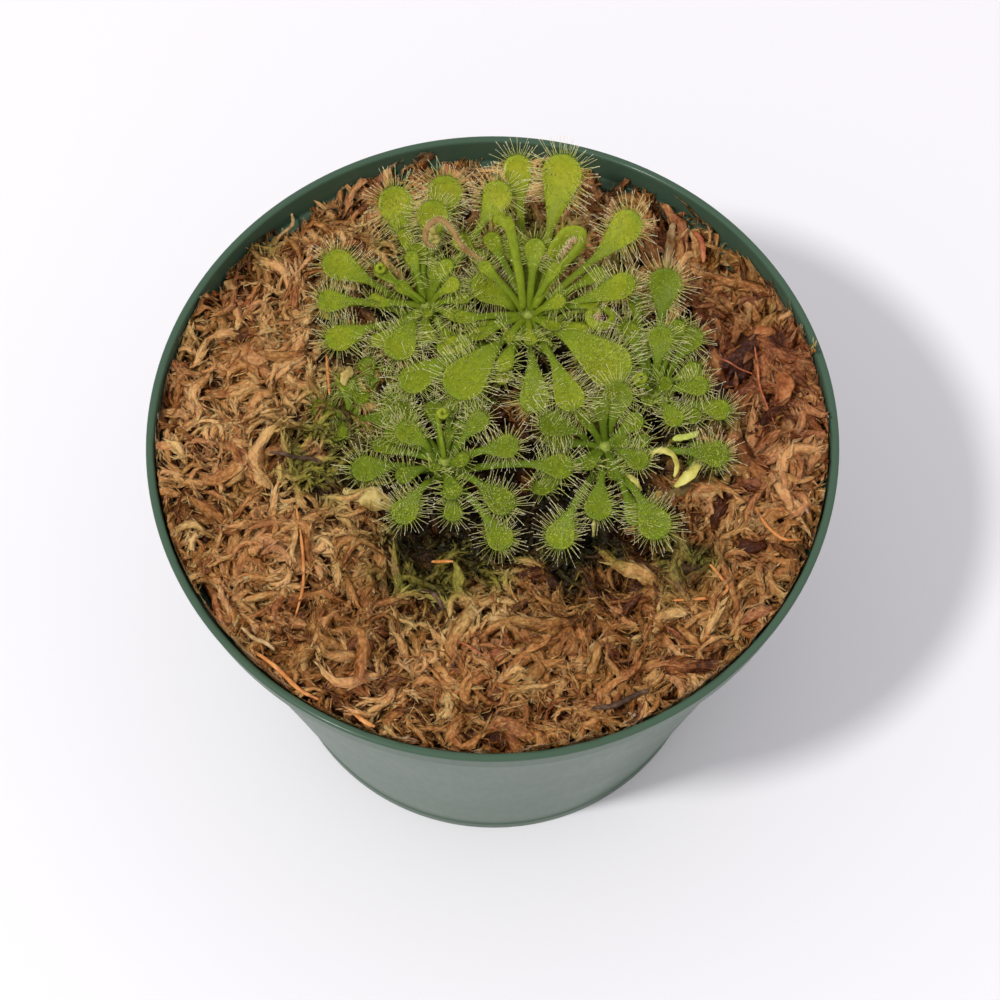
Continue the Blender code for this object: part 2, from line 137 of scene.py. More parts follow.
FOOT_RADIUS = 36.3 * MM
FOOT_BAND = 2.7 * MM
FOOT_RING = 2.4 * MM
WALL = 1.15 * MM
COLLAR = 5.4 * MM
COLLAR_STEP = 1.7 * MM
COLLAR_DRAFT = 0.4 * MM
LIP_WIDTH = 1.2 * MM
LIP_HEIGHT = 0.9 * MM
LIP_BEAD = 0.4 * MM
FLOOR_HEIGHT = 4.6 * MM
DRAIN_HOLES = 8
DRAIN_RADIUS = 2.5 * MM
DRAIN_CIRCLE = 29.0 * MM
DRILL_SIDES = 32
POT_SIDES = 192
LEDGE_HEIGHT = RIM_HEIGHT - COLLAR
LEDGE_RADIUS = RIM_RADIUS - 3.1 * MM
FLOOR_EDGE = FOOT_RADIUS - WALL
UNDERSIDE = FLOOR_HEIGHT - WALL
RING_INSIDE = FOOT_RADIUS - FOOT_RING
COLLAR_OUTSIDE = RIM_RADIUS - LIP_BEAD
LIP_FOOT = RIM_HEIGHT - LIP_HEIGHT
# The wall in section, from under the floor to its top: radius, height, and how far to round it.
POT_OUTLINE = np.array((
    (0.0, UNDERSIDE, 0.0),
    (4.0 * MM, UNDERSIDE, 0.0),
    (RING_INSIDE, UNDERSIDE, 0.6 * MM),
    (RING_INSIDE, 0.0, 0.4 * MM),
    (FOOT_RADIUS, 0.0, 0.5 * MM),
    (FOOT_RADIUS + 0.25 * MM, FOOT_BAND, 0.6 * MM),
    (FOOT_RADIUS + 0.12 * MM, FOOT_BAND + 0.6 * MM, 0.7 * MM),
    (0.5 * (FOOT_RADIUS + LEDGE_RADIUS + WALL), 0.5 * (FOOT_BAND + LEDGE_HEIGHT), 0.0),
    (LEDGE_RADIUS + WALL, LEDGE_HEIGHT - WALL, 0.8 * MM),
    (COLLAR_OUTSIDE - COLLAR_DRAFT, LEDGE_HEIGHT - 0.3 * MM, 0.7 * MM),
    (COLLAR_OUTSIDE, LIP_FOOT, 0.15 * MM),
    (RIM_RADIUS, LIP_FOOT, 0.25 * MM),
    (RIM_RADIUS, RIM_HEIGHT, 0.55 * MM),
    (RIM_RADIUS - LIP_WIDTH, RIM_HEIGHT, 0.55 * MM),
    (LEDGE_RADIUS + COLLAR_STEP - 0.1 * MM, LEDGE_HEIGHT, 0.5 * MM),
    (LEDGE_RADIUS, LEDGE_HEIGHT, 0.4 * MM),
    (0.5 * (FLOOR_EDGE + LEDGE_RADIUS), 0.5 * (FLOOR_HEIGHT + LEDGE_HEIGHT), 0.0),
    (FLOOR_EDGE, FLOOR_HEIGHT, 1.2 * MM),
    (4.0 * MM, FLOOR_HEIGHT, 0.0),
    (0.0, FLOOR_HEIGHT, 0.0),
))


def rounded(corners, radii, steps=5):
    """The outline through the corners, each cut by a quadratic arc that starts and ends one radius
    away from it; a corner of radius zero stays sharp."""
    outline = [corners[:1]]
    share = np.linspace(0.0, 1.0, steps)[:, None]
    for before, corner, after, radius in zip(corners, corners[1:], corners[2:], radii[1:]):
        if radius == 0.0:
            outline.append(corner[None])
            continue
        back, on = before - corner, after - corner
        start = corner + back * min(0.45, radius / np.linalg.norm(back))
        end = corner + on * min(0.45, radius / np.linalg.norm(on))
        outline.append((1 - share) ** 2 * start + 2 * share * (1 - share) * corner + share**2 * end)
    outline.append(corners[-1:])
    return np.vstack(outline)


def round_turn(sides):
    """The angles of the points of a ring."""
    return 2 * math.pi * np.arange(sides) / sides


def level_rings(radius, height, sides):
    """Rings about Z: (radius * cos, radius * sin, height) at each angle of the ring."""
    turn = round_turn(sides)
    return np.stack(np.broadcast_arrays(radius * np.cos(turn), radius * np.sin(turn), height), axis=-1)


def capped(first, rings, last):
    """The points of a closed tube: a first end, its rings and a last end."""
    return np.vstack((first, rings.reshape(-1, 3), last))


def tube_faces(count, rings, sides):
    """Faces of equal closed tubes, all facing outwards: quads between the rings, and a fan of
    triangles round each end."""
    size = rings * sides + 2
    ring = 1 + sides * np.arange(rings)[:, None]
    here = np.arange(sides)
    following = (here + 1) % sides
    quads = np.stack(
        (ring[:-1] + here, ring[:-1] + following, ring[1:] + following, ring[1:] + here), axis=-1
    ).reshape(-1, 4)
    first = np.column_stack((np.zeros(sides, dtype=int), 1 + following, 1 + here))
    last = np.column_stack((np.full(sides, size - 1), ring[-1] + here, ring[-1] + following))
    starts = size * np.arange(count)[:, None, None]
    return (quads + starts).reshape(-1, 4), (np.vstack((first, last)) + starts).reshape(-1, 3)


def build_tubes(name, points, sides):
    """One piece of the closed tubes whose points are given, each tube a row."""
    tubes = points.reshape(-1, *points.shape[-2:])
    rings = (tubes.shape[1] - 2) // sides
    return build_mesh(name, tubes.reshape(-1, 3), *tube_faces(len(tubes), rings, sides))


profile = rounded(POT_OUTLINE[:, :2], POT_OUTLINE[:, 2])
shell = level_rings(profile[1:-1, :1], profile[1:-1, 1:], POT_SIDES)
pot_shell = build_tubes("nursery_pot", capped((0, 0, UNDERSIDE), shell, (0, 0, FLOOR_HEIGHT)), POT_SIDES)

# Rods through the floor cut the drain holes, and the tiny edges that the cut leaves are welded.
low, high = UNDERSIDE - WALL, FLOOR_HEIGHT + WALL
drill = capped((0, 0, low), level_rings(DRAIN_RADIUS, np.array(((low,), (high,))), DRILL_SIDES), (0, 0, high))
middles = level_rings(DRAIN_CIRCLE, 0.0, 2 * DRAIN_HOLES)[1::2]
drills = build_tubes("drain_drills", middles[:, None] + drill, DRILL_SIDES)
pot_shell.modifiers.new("drain_holes", "BOOLEAN").object = drills
drilled = pot_shell.evaluated_get(bpy.context.evaluated_depsgraph_get())
pot_shell.data = bpy.data.meshes.new_from_object(drilled)
pot_shell.data.name = "nursery_pot"
pot_shell.modifiers.clear()
bpy.data.objects.remove(drills)
welded = bmesh.new()
welded.from_mesh(pot_shell.data)
bmesh.ops.remove_doubles(welded, verts=welded.verts, dist=0.001 * MM)
welded.to_mesh(pot_shell.data)
welded.free()


def add_node(tree, kind, output, inputs, **properties):
    """A shader node whose inputs are constants or other nodes' outputs; gives its named output."""
    node = tree.nodes.new("ShaderNode" + kind)
    for key, value in properties.items():
        setattr(node, key, value)
    for socket, value in inputs.items():
        if isinstance(value, bpy.types.NodeSocket):
            tree.links.new(value, node.inputs[socket])
        else:
            node.inputs[socket].default_value = value
    return node.outputs[output]


def object_place(tree):
    """The place on the object, in metres."""
    return add_node(tree, "TexCoord", "Object", {})


def noise(tree, place, scale, detail, roughness=0.5):
    """Soft noise round 0.5, in so many turns to the metre."""
    return add_node(tree, "TexNoise", "Fac", {
        "Vector": place, "Scale": scale, "Detail": detail, "Roughness": roughness})


def worked_out(tree, operation, *values):
    """The operation on the values."""
    return add_node(tree, "Math", "Value", dict(enumerate(values)), operation=operation)


def spread(tree, value, low, high, to_low, to_high):
    """The value, taken from the range low to high to the range to_low to to_high."""
    return add_node(tree, "MapRange", "Result", {
        "Value": value, "From Min": low, "From Max": high, "To Min": to_low, "To Max": to_high})


def color_ramp(tree, factor, *stops):
    """A colour ramp with (place, colour) stops, fed by factor."""
    ramp = add_node(tree, "ValToRGB", "Color", {"Fac": factor})
    elements = ramp.node.color_ramp.elements
    while len(elements) < len(stops):
        elements.new(0.5)
    for element, (place, colour) in zip(elements, stops):
        element.position = place
        element.color = (*colour, 1.0)
    return ramp


def raised(tree, height, strength, distance, **more):
    """The normal that a height gives the surface."""
    inputs = {"Height": height, "Strength": strength, "Distance": distance, **more}
    return add_node(tree, "Bump", "Normal", inputs)


# The grain that most of the finishes share: a noise, and the normal that it gives as a bump.
grain_group = bpy.data.node_groups.new("fine_grain", "ShaderNodeTree")
for label in ("Place", "Scale", "Detail", "Strength", "Distance"):
    socket_kind = "NodeSocketVector" if label == "Place" else "NodeSocketFloat"
    grain_group.interface.new_socket(label, in_out="INPUT", socket_type=socket_kind)
grain_group.interface.new_socket("Value", in_out="OUTPUT", socket_type="NodeSocketFloat")
grain_group.interface.new_socket("Normal", in_out="OUTPUT", socket_type="NodeSocketVector")
given = grain_group.nodes.new("NodeGroupInput").outputs
result = grain_group.nodes.new("NodeGroupOutput").inputs
grains = noise(grain_group, given["Place"], given["Scale"], given["Detail"])
grain_group.links.new(grains, result["Value"])
grain_group.links.new(raised(grain_group, grains, given["Strength"], given["Distance"]), result["Normal"])


def fine_grain(tree, place, scale, detail, strength, distance):
    """The shared grain with a material's own values: its noise and its normal."""
    values = {"Place": place, "Scale": scale, "Detail": detail, "Strength": strength, "Distance": distance}
    grain = add_node(tree, "Group", "Value", values, node_tree=grain_group)
    return grain, grain.node.outputs["Normal"]


def feed(tree, outputs):
    """Links each output to the shader's socket of that name."""
    for socket, output in outputs.items():
        tree.links.new(output, tree.nodes["Principled BSDF"].inputs[socket])


def finished(piece, material, slot, *nodes):
    """Gives a piece its material and its body, and hides the CAD nodes that it stands for; slot is not used.
    """
    piece.data.materials.append(material)
    if nodes:
        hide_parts(*nodes)
    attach(piece, "root")


pot_plastic = new_material("pot_plastic", {
    "Specular IOR Level": 0.08, "Coat Weight": 0.16, "Coat Roughness": 0.13})
tree = pot_plastic.node_tree
place = object_place(tree)
upright = add_node(tree, "Mapping", "Vector", {"Vector": place, "Scale": (1.0, 1.0, 0.12)})
clouds, normal = fine_grain(tree, place, 60.0, 3.0, 0.03, 0.6 * MM)
mottle = worked_out(tree, "ADD", noise(tree, upright, 900.0, 3.0, 0.6), clouds)
feed(tree, {
    "Base Color": color_ramp(tree, mottle, (0.35, (0.050, 0.090, 0.056)), (0.75, (0.056, 0.101, 0.063))),
    "Roughness": spread(tree, mottle, 0.7, 1.3, 0.36, 0.42),
    "Normal": normal})
pot_shell.data.materials.clear()
finished(pot_shell, pot_plastic, "pot_plastic", "pot")


# Moss bed.
# Long-fibre sphagnum, soaked, teased out and pressed into the pot by hand: an imported body below, painted
# dark as the shade under the rest, and on it matted ribbons of old moss that run every way, frayed at their
# ends, with loose threads.

BED_TOP_FLOOR = LEDGE_HEIGHT - 4.0 * MM
BED_TOP_REACH = 48.0 * MM
BED_BLUR = 3.0 * MM
BED_GAP = 0.3 * MM
BED_LUMP = 1.9 * MM
BED_GRIT = 0.7 * MM
BED_SUNK = 0.7 * MM
BED_SIDES = 160
BED_RINGS = 60
EDGE_START = 44.0 * MM
EDGE_DROP = 0.5 * MM
CROWN_CLEAR = 3.0 * MM
LEAF_PRESS = 1.3 * MM
PRESS_REACH = 1.8 * MM
COVER_REACH = 2.6 * MM
LOW_LEAF = 1.8 * MM
MOSS_REACH = 49.8 * MM
MAP_HALF = 53.0 * MM
MAP_STEPS = 212
ROSETTES = ("back", "left", "front_left", "front_right", "right")
UP = np.array((0.0, 0.0, 1.0))
rng = np.random.default_rng(41)


def node_points(name):
    """The corner points of a CAD node's mesh, each of them once."""
    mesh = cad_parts[name].data
    points = np.empty(3 * len(mesh.vertices), dtype=np.float32)
    mesh.vertices.foreach_get("co", points)
    return np.unique(points.reshape(-1, 3).round(6), axis=0).astype(float)


def ripples(x, y, wavelength, seed):
    """Smooth noise between about -1 and 1: a sum of plane waves of random direction and phase,
    whose lengths lie round the wavelength."""
    draw = np.random.default_rng(seed)
    turn = draw.uniform(0, 2 * math.pi, 12)
    phase = draw.uniform(0, 2 * math.pi, 12)
    pace = 2 * math.pi / (wavelength * draw.uniform(0.7, 1.6, 12))
    waves = np.sin((x[..., None] * np.cos(turn) + y[..., None] * np.sin(turn)) * pace + phase)
    return waves.sum(axis=-1) / math.sqrt(6 * 4)


def spots(x, y, table):
    """A sum of Gaussian spots: each row is the middle's x and y and the radius, all three in
    millimetres, and the value at the middle."""
    total = 0.0
    for middle_x, middle_y, radius, peak in table:
        away = (x / MM - middle_x) ** 2 + (y / MM - middle_y) ** 2
        total = total + peak * np.exp(-away / (2 * radius**2))
    return total


CROWNS = {}
crown_feet = {}
for name in ROSETTES:
    low, high = (np.array(corner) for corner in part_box("crown_" + name))
    CROWNS[name] = np.append(0.5 * (low + high)[:2], high[2])
    crown_feet[name] = low[2]
bed_tops = node_points("moss_bed")
bed_tops = bed_tops[(bed_tops[:, 2] > BED_TOP_FLOOR) & (np.hypot(*bed_tops[:, :2].T) < BED_TOP_REACH)]
for crown in CROWNS.values():
    bed_tops = bed_tops[np.hypot(*(bed_tops[:, :2] - crown[:2]).T) > CROWN_CLEAR]
LEAF_NAMES = sorted(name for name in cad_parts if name.startswith("leaf_") and "unrolling" not in name)
all_leaves = np.vstack([node_points(name) for name in LEAF_NAMES])
low_leaves = all_leaves[all_leaves[:, 2] < RIM_HEIGHT + LOW_LEAF][::2]


def bed_height(x, y):
    """Height of the moss over (x, y): the mean height of the frame's own points on top of the bed,
    weighted by a Gaussian of their distance, let down towards the wall of the pot, and pressed down
    a little under the leaves that lie on it."""
    reach = (x[..., None] - bed_tops[:, 0]) ** 2 + (y[..., None] - bed_tops[:, 1]) ** 2
    weights = np.exp(-(reach - reach.min(axis=-1, keepdims=True)) / (2 * BED_BLUR**2))
    height = (weights @ bed_tops[:, 2]) / weights.sum(axis=-1)
    near = np.hypot(x[..., None] - low_leaves[:, 0], y[..., None] - low_leaves[:, 1]).min(axis=-1)
    pressed = LEAF_PRESS * np.exp(-(near / PRESS_REACH) ** 2)
    edge = np.clip((np.hypot(x, y) - EDGE_START) / (LEDGE_RADIUS - EDGE_START), 0, 1) ** 2
    return height - pressed - EDGE_DROP * edge


# Maps of the bed, read instead of worked out anew: its height, its clumps (one at the top of a clump,
# falling to -1.5 in the gaps), and how thickly leaves cover it (bent so that it levels off at one),
# which paints shade on the moss under the plants.
map_line = np.linspace(-MAP_HALF, MAP_HALF, MAP_STEPS + 1)
map_x, map_y = np.meshgrid(map_line, map_line, indexing="ij")
clumps = 0.75 - 1.1 * np.abs(ripples(map_x, map_y, 13 * MM, 11))
clumps = np.maximum(clumps - 0.6 * np.abs(ripples(map_x, map_y, 6 * MM, 12)), -1.5)
clumps -= spots(map_x, map_y, ((34.2, -15.3, 1.4, 1.6), (30.2, -25.6, 1.2, 1.2)))
height_map = bed_height(map_x, map_y) + BED_LUMP * clumps
cover_x, cover_y = np.exp(-((map_line[:, None] - all_leaves[::8, :2].T[:, None]) / COVER_REACH) ** 2)
cover_map = cover_x @ cover_y.T
cover_map = 1 - np.exp(-((cover_map / np.quantile(cover_map, 0.82)) ** 1.5))


def read_map(values, x, y):
    """The map's value at (x, y), read between its four nearest points in proportion to distance."""
    place_x = np.clip((x + MAP_HALF) / (2 * MAP_HALF), 0, 0.99999) * MAP_STEPS
    place_y = np.clip((y + MAP_HALF) / (2 * MAP_HALF), 0, 0.99999) * MAP_STEPS
    low_x, low_y = place_x.astype(int), place_y.astype(int)
    part_x, part_y = place_x - low_x, place_y - low_y
    near = values[low_x, low_y] * (1 - part_y) + values[low_x, low_y + 1] * part_y
    far = values[low_x + 1, low_y] * (1 - part_y) + values[low_x + 1, low_y + 1] * part_y
    return near * (1 - part_x) + far * part_x


def paint(piece, name, values):
    """A number or a vector for each point of the mesh, which its material reads by name."""
    values = np.asarray(values, dtype=np.float32).ravel()
    vector = values.size > len(piece.data.vertices)
    kind, field = ("FLOAT_VECTOR", "vector") if vector else ("FLOAT", "value")
    piece.data.attributes.new(name, kind, "POINT").data.foreach_set(field, values)


# Where the moss is alive, red, coarse, in broad shreds, and paler or darker than elsewhere. The last table
# mixes the moss's own tone with painted shade and painted light, such as painted shade beside the wall and
# under the plants.
LIVE_SPOTS = (
    (-10, -20, 5.2, 1.4), (-4, -18, 4.0, 1.1), (-24.5, -5, 4.6, 1.3), (-23, 2, 4.0, 1.1), (28, -22, 3.4, 1.2),
    (14, -20, 3.6, 1.3), (-38, 35, 3.0, 0.9), (3, -13, 6, 0.9),
)
RED_SPOTS = ((41, 8, 12, 1.1), (20, 40, 9, 0.4), (-12, 38, 8, 0.25))
COARSE_SPOTS = ((41, 10, 10, 1.0), (30, -24, 9, 0.4))
SHEET_SPOTS = ((40, 6, 12, 0.7),)
TONE_AND_PAINTED_SHADE_SPOTS = (
    (39, 5, 13, -0.11), (8, -38, 14, -0.08), (34.2, -15.3, 1.8, -0.5), (-9, -20, 6, -0.10),
    (-34.6, 35, 5, -0.46), (-40.4, 22.6, 4, -0.10), (-47.7, -19, 5, -0.40), (-44, -1, 4, 0.28),
    (-25.5, -34.5, 5.5, -0.34), (-27.5, -24, 3.5, -0.20), (21.9, -14.6, 3.5, -0.40),
    (15.7, -21.9, 4, -0.36), (3.9, -26.1, 4, 0.04), (28.5, 6.7, 4, 0.26), (33, -6, 5, 0.30),
    (25, 29.5, 4.5, 0.46), (23.5, 42, 5, -0.50), (-33, 21, 5, -0.16), (-42, -8, 4, 0.16),
    (-8, -36, 4, 0.14), (-26.8, 17, 6, 0.30), (-27.5, 24.3, 5, 0.34), (-27.5, 8, 6, 0.44),
    (-26.5, -7, 4.5, 0.40), (-27, -14.5, 5, 0.34), (-31.5, -27, 4, 0.34), (46, -8, 6, 0.30),
    (26, -22, 4, 0.28), (-13.6, -22.5, 2.5, 0.12), (-2, -25.5, 5, 0.34), (-17, -29, 6, 0.14),
    (-2, -19.4, 4, 0.34), (5, 38, 7, 0.66), (-13, 35, 7, 0.46), (12, 33, 6, 0.46), (-38, -5, 4, -0.16),
    (-34, 14, 4, -0.18), (15.6, -34, 4, -0.36), (21.1, -39.8, 4, 0.16), (15, -4, 5, -0.30),
    (5, -8, 5, -0.34), (-13.5, -5, 5, -0.30), (-45, 21, 3, 0.2),
)


def greenness(x, y):
    """How far the moss is alive: in the hollow, and round the plants, where its dark green is also painted
    shade under the leaves.
    """
    alive = spots(x, y, LIVE_SPOTS) + 0.9 * read_map(cover_map, x, y)
    return np.clip(alive * (1.0 + 0.7 * ripples(x, y, 6 * MM, 3)), 0, 1)


def tone_and_painted_shade(x, y, depth):
    """How pale each strand is: patches of like tone, darker where it lies deep or is alive, with painted
    shade in the gaps between clumps and under the plants, and the spot table's painted light and shade."""
    tone = 0.61 + 0.19 * ripples(x, y, 8 * MM, 41) + rng.normal(0, 0.10, x.shape)
    # Painted shade in the gaps between clumps; darker where the moss is alive.
    tone += 0.34 * np.minimum(read_map(clumps, x, y) + 0.25, 0) - 0.24 * greenness(x, y)
    # Painted shade under the plants where leaves cover the moss, and the spot table's painted light and
    # shade.
    tone += spots(x, y, TONE_AND_PAINTED_SHADE_SPOTS) - 0.50 * read_map(cover_map, x, y)
    return np.clip(tone + 0.11 * depth / MM, 0.02, 1.0)


moss_pieces = []


def add_moss(piece, points, tones, fibre, hue=0.0, living=1.0):
    """Paints a moss piece. Its redness is most under the right-hand wall and in loose patches
    elsewhere, and below nought it is straw-coloured; hue is added to each strand's redness."""
    x, y = points[..., 0], points[..., 1]
    rust = np.clip(spots(x, y, RED_SPOTS) + 0.50 * ripples(x, y, 9 * MM, 5), -1, 1)
    paint(piece, "tone", np.clip(tones, 0, 1))
    paint(piece, "green", living * greenness(x, y))
    paint(piece, "rust", rust + hue)
    paint(piece, "fibre", fibre)
    moss_pieces.append(piece)


bed_bottom = FLOOR_HEIGHT + BED_GAP
bed_low = FLOOR_EDGE - BED_GAP
bed_edge = LEDGE_RADIUS - BED_GAP
wall_rings = np.array((
    (bed_low - 1.5 * MM, bed_bottom),
    (bed_low, bed_bottom + 1.5 * MM),
    (0.5 * (bed_low + bed_edge), 0.5 * (bed_bottom + LEDGE_HEIGHT)),
    (bed_edge, LEDGE_HEIGHT - 4.5 * MM),
))
bed_top = level_rings(bed_edge * np.linspace(1.0, 0.015, BED_RINGS)[:, None], 0.0, BED_SIDES)
flat_x, flat_y = bed_top[..., 0], bed_top[..., 1]
grit = BED_GRIT * np.abs(ripples(flat_x, flat_y, 2.2 * MM, 13))
bed_top[..., 2] = read_map(height_map, flat_x, flat_y) - BED_SUNK - grit
bed_rings = np.concatenate((level_rings(wall_rings[:, :1], wall_rings[:, 1:], BED_SIDES), bed_top))
bed_points = capped((0, 0, bed_bottom), bed_rings, (0, 0, bed_top[-1, :, 2].mean()))
moss_body = build_tubes("moss_body", bed_points, BED_SIDES)
# The body is painted dark all over as the shade under the ribbons, with a little noise.
body_painted_shade = 0.2 + 0.12 * ripples(bed_points[:, 0], bed_points[:, 1], 3 * MM, 21)
add_moss(moss_body, bed_points, body_painted_shade, bed_points / MM, living=0.8)


def unit(vectors):
    """The vectors along the last axis, each brought to length one."""
    return vectors / np.maximum(np.linalg.norm(vectors, axis=-1, keepdims=True), 1e-12)


def swept_tubes(paths, across, over, sides, up, bow=0.0):
    """Points of one closed tube along each path. Every stop but the first and the last, which are
    points, has an elliptical ring square to the path: half `across` wide and half `over` high,
    with its height towards `up`, and its two edges let down by `bow` times its width."""
    along = unit(np.gradient(paths, axis=1))
    side = unit(np.cross(up, along))
    lift = np.cross(along, side)
    turn = round_turn(sides)
    height = over[..., None] * np.sin(turn) - bow * across[..., None] * np.cos(turn) ** 2
    rings = (
        paths[:, 1:-1, None]
        + side[:, 1:-1, None] * (across[..., None] * np.cos(turn))[..., None]
        + lift[:, 1:-1, None] * height[..., None]
    )
    return np.concatenate((paths[:, :1], rings.reshape(len(paths), -1, 3), paths[:, -1:]), axis=1)


def kept_inside(points):
    """The points, drawn in to the wall of the pot where they would pass through it: the wall stands
    further out above the ledge."""
    over_ledge = np.clip((points[..., 2] - LEDGE_HEIGHT - 0.2 * MM) / (0.5 * MM), 0, 1)
    wall = bed_edge + (RIM_RADIUS - LIP_WIDTH - LEDGE_RADIUS - 0.1 * MM) * over_ledge
    points[..., :2] *= np.minimum(1.0, wall / np.hypot(points[..., 0], points[..., 1]))[..., None]
    return points


def scattered(count):
    """The x and the y of random places spread evenly over the moss."""
    out = MOSS_REACH * np.sqrt(rng.random(count))
    turn = rng.uniform(0, 2 * math.pi, count)
    return out * np.cos(turn), out * np.sin(turn)


def laid_paths(x, y, length, stops):
    """Paths laid on the matted surface from (x, y), and how deep each lies. A path mostly follows the
    lie of the moss, winds as it goes, dips where it starts, arches, and may lift its tip."""
    count = len(x)
    share = np.linspace(0.0, 1.0, stops)
    lie = 1.3 * math.pi * ripples(x, y, 24 * MM, 31) + np.arctan2(y, x)
    heading = lie + rng.normal(0, 0.5, count) + math.pi * rng.integers(0, 2, count)
    winding = rng.normal(0, 1.6, count)[:, None] * share + 0.6 * np.sin(
        rng.uniform(3, 7, count)[:, None] * share + rng.uniform(0, 6.3, count)[:, None])
    bearing = heading[:, None] + winding
    step = (length / (stops - 1))[:, None]
    along_x = x[:, None] + np.cumsum(np.cos(bearing) * step, axis=1)
    along_y = y[:, None] + np.cumsum(np.sin(bearing) * step, axis=1)
    depth = rng.uniform(-0.9, 0.75, count) * MM
    arch = rng.uniform(0.02, 0.16, count)[:, None] * length[:, None] * np.sin(math.pi * share)
    cocked = (rng.random(count) < 0.35) * rng.uniform(0.05, 0.35, count) * length
    height = read_map(height_map, along_x, along_y) + depth[:, None] + arch + cocked[:, None] * share**3
    return np.dstack((along_x, along_y, height - 0.5 * MM * (1 - share) ** 4)), depth


def ringed(first, values, last, sides):
    """One value for each point of a closed tube: its first end, its rings and its last end."""
    return np.concatenate(([first], np.repeat(values, sides), [last]))


def combed_fibre(half, length, seed, sides):
    """For each point of a ribbon, how far it lies across it and along it, in millimetres, and the
    ribbon's seed."""
    across = (half[..., None] * np.cos(round_turn(sides))).reshape(len(half), -1) / MM
    across = np.pad(across, ((0, 0), (1, 1)))
    share = np.linspace(0.0, 1.0, half.shape[1] + 2)
    along = ringed(0.0, share[1:-1], 1.0, sides) * length[:, None] / MM
    return np.dstack((across, along, seed + 0 * across))


# Ribbons of moss: stems that are thick in the middle and thin at both ends.
PLUMES = 4200
PLUME_PIECES = 2
PLUME_STOPS = 7
PLUME_SIDES = 4
PLUME_LEAVES = 16
PLUME_LENGTH = 6.4 * MM
PLUME_HALF = 0.6 * MM
share = np.linspace(0.0, 1.0, PLUME_STOPS)
x, y = scattered(PLUMES)
size = np.exp(rng.normal(0, 0.25, PLUMES))
size *= (1 + 0.9 * spots(x, y, COARSE_SPOTS)) * (1 - 0.35 * greenness(x, y))
length = PLUME_LENGTH * size * rng.uniform(0.7, 1.3, PLUMES)
half = PLUME_HALF * size * rng.uniform(0.6, 1.4, PLUMES)
stems, depth = laid_paths(x, y, length, PLUME_STOPS)
tone = tone_and_painted_shade(x, y, depth)[:, None]
profile = np.sin(math.pi * np.clip(share**rng.uniform(0.7, 1.2, PLUMES)[:, None], 0.05, 0.95)) ** 0.6
swell = (profile * rng.uniform(0.65, 1.3, (PLUMES, PLUME_STOPS)) * half[:, None])[:, 1:-1]
thick = rng.uniform(0.25, 0.55, PLUMES)[:, None] * swell
lean = unit(UP + rng.normal(0, 0.3, (PLUMES, 3)))[:, None]
bow = rng.uniform(-0.1, 0.6, PLUMES)[:, None, None]
ribbons = kept_inside(swept_tubes(stems, swell, thick, PLUME_SIDES, lean, bow))
ribbon_tone = tone + ringed(-0.12, (-0.06, -0.02, 0.0, 0.03, 0.06), 0.10, PLUME_SIDES)
seed = rng.uniform(0, 900, PLUMES)[:, None]
hue = rng.normal(0.0, 0.34, PLUMES)[:, None]
ribbon_fibre = combed_fibre(swell, length, seed, PLUME_SIDES)

# Their leaflets, which overlap like shingles on both sides of the stem: each a keeled blade of four
# faces, from its foot over two corners of its belly to its tip.
leaf_share = (np.arange(PLUME_LEAVES) + rng.uniform(0.0, 0.9, (PLUMES, PLUME_LEAVES))) / PLUME_LEAVES
stop = 0.2 + leaf_share * (PLUME_STOPS - 1.25)
low = stop.astype(int)
part = (stop - low)[..., None]
host = np.arange(PLUMES)[:, None]
here, ahead = stems[host, low], stems[host, low + 1]
foot = here * (1 - part) + ahead * part
along = unit(ahead - here)
side = unit(np.cross(lean, along))
lift = np.cross(along, side)
width_here = np.pad(swell, ((0, 0), (1, 1)), mode="edge")[host, np.rint(stop).astype(int)]
off = rng.uniform(0.25, 1.0, stop.shape) * (1 - 2 * (np.arange(PLUME_LEAVES) % 2))
level = off**2 * bow[..., 0] + 0.1 - 0.38 * np.sqrt(1 - off**2)
foot += side * (0.8 * off * width_here)[..., None] - lift * (level * width_here)[..., None]
turn_out = 0.36 * off + rng.normal(0, 0.16, stop.shape)
rise = rng.uniform(-0.02, 0.15, stop.shape)
way = along * np.cos(turn_out)[..., None] + side * np.sin(turn_out)[..., None]
way = unit(way * np.cos(rise)[..., None] + lift * np.sin(rise)[..., None])
blade = (size[:, None] * (1.6 - 0.5 * leaf_share) * rng.uniform(0.6, 1.3, stop.shape) * MM)[..., None]
half = blade * rng.uniform(0.08, 0.15, (*stop.shape, 1))
face = unit(lift + side * (0.5 * off)[..., None] + 0.13 * rng.normal(0, 1, foot.shape))
across = unit(np.cross(face, way))
face = np.cross(way, across)
belly = foot + 0.45 * blade * way - rng.uniform(0.04, 0.09, half.shape) * blade * face
tip = foot + blade * way + rng.uniform(-0.2, 0.1, half.shape) * blade * face
edge = across * half
plumes = kept_inside(np.stack((foot - 0.05 * blade * face, belly + edge, belly - edge, tip), axis=2))
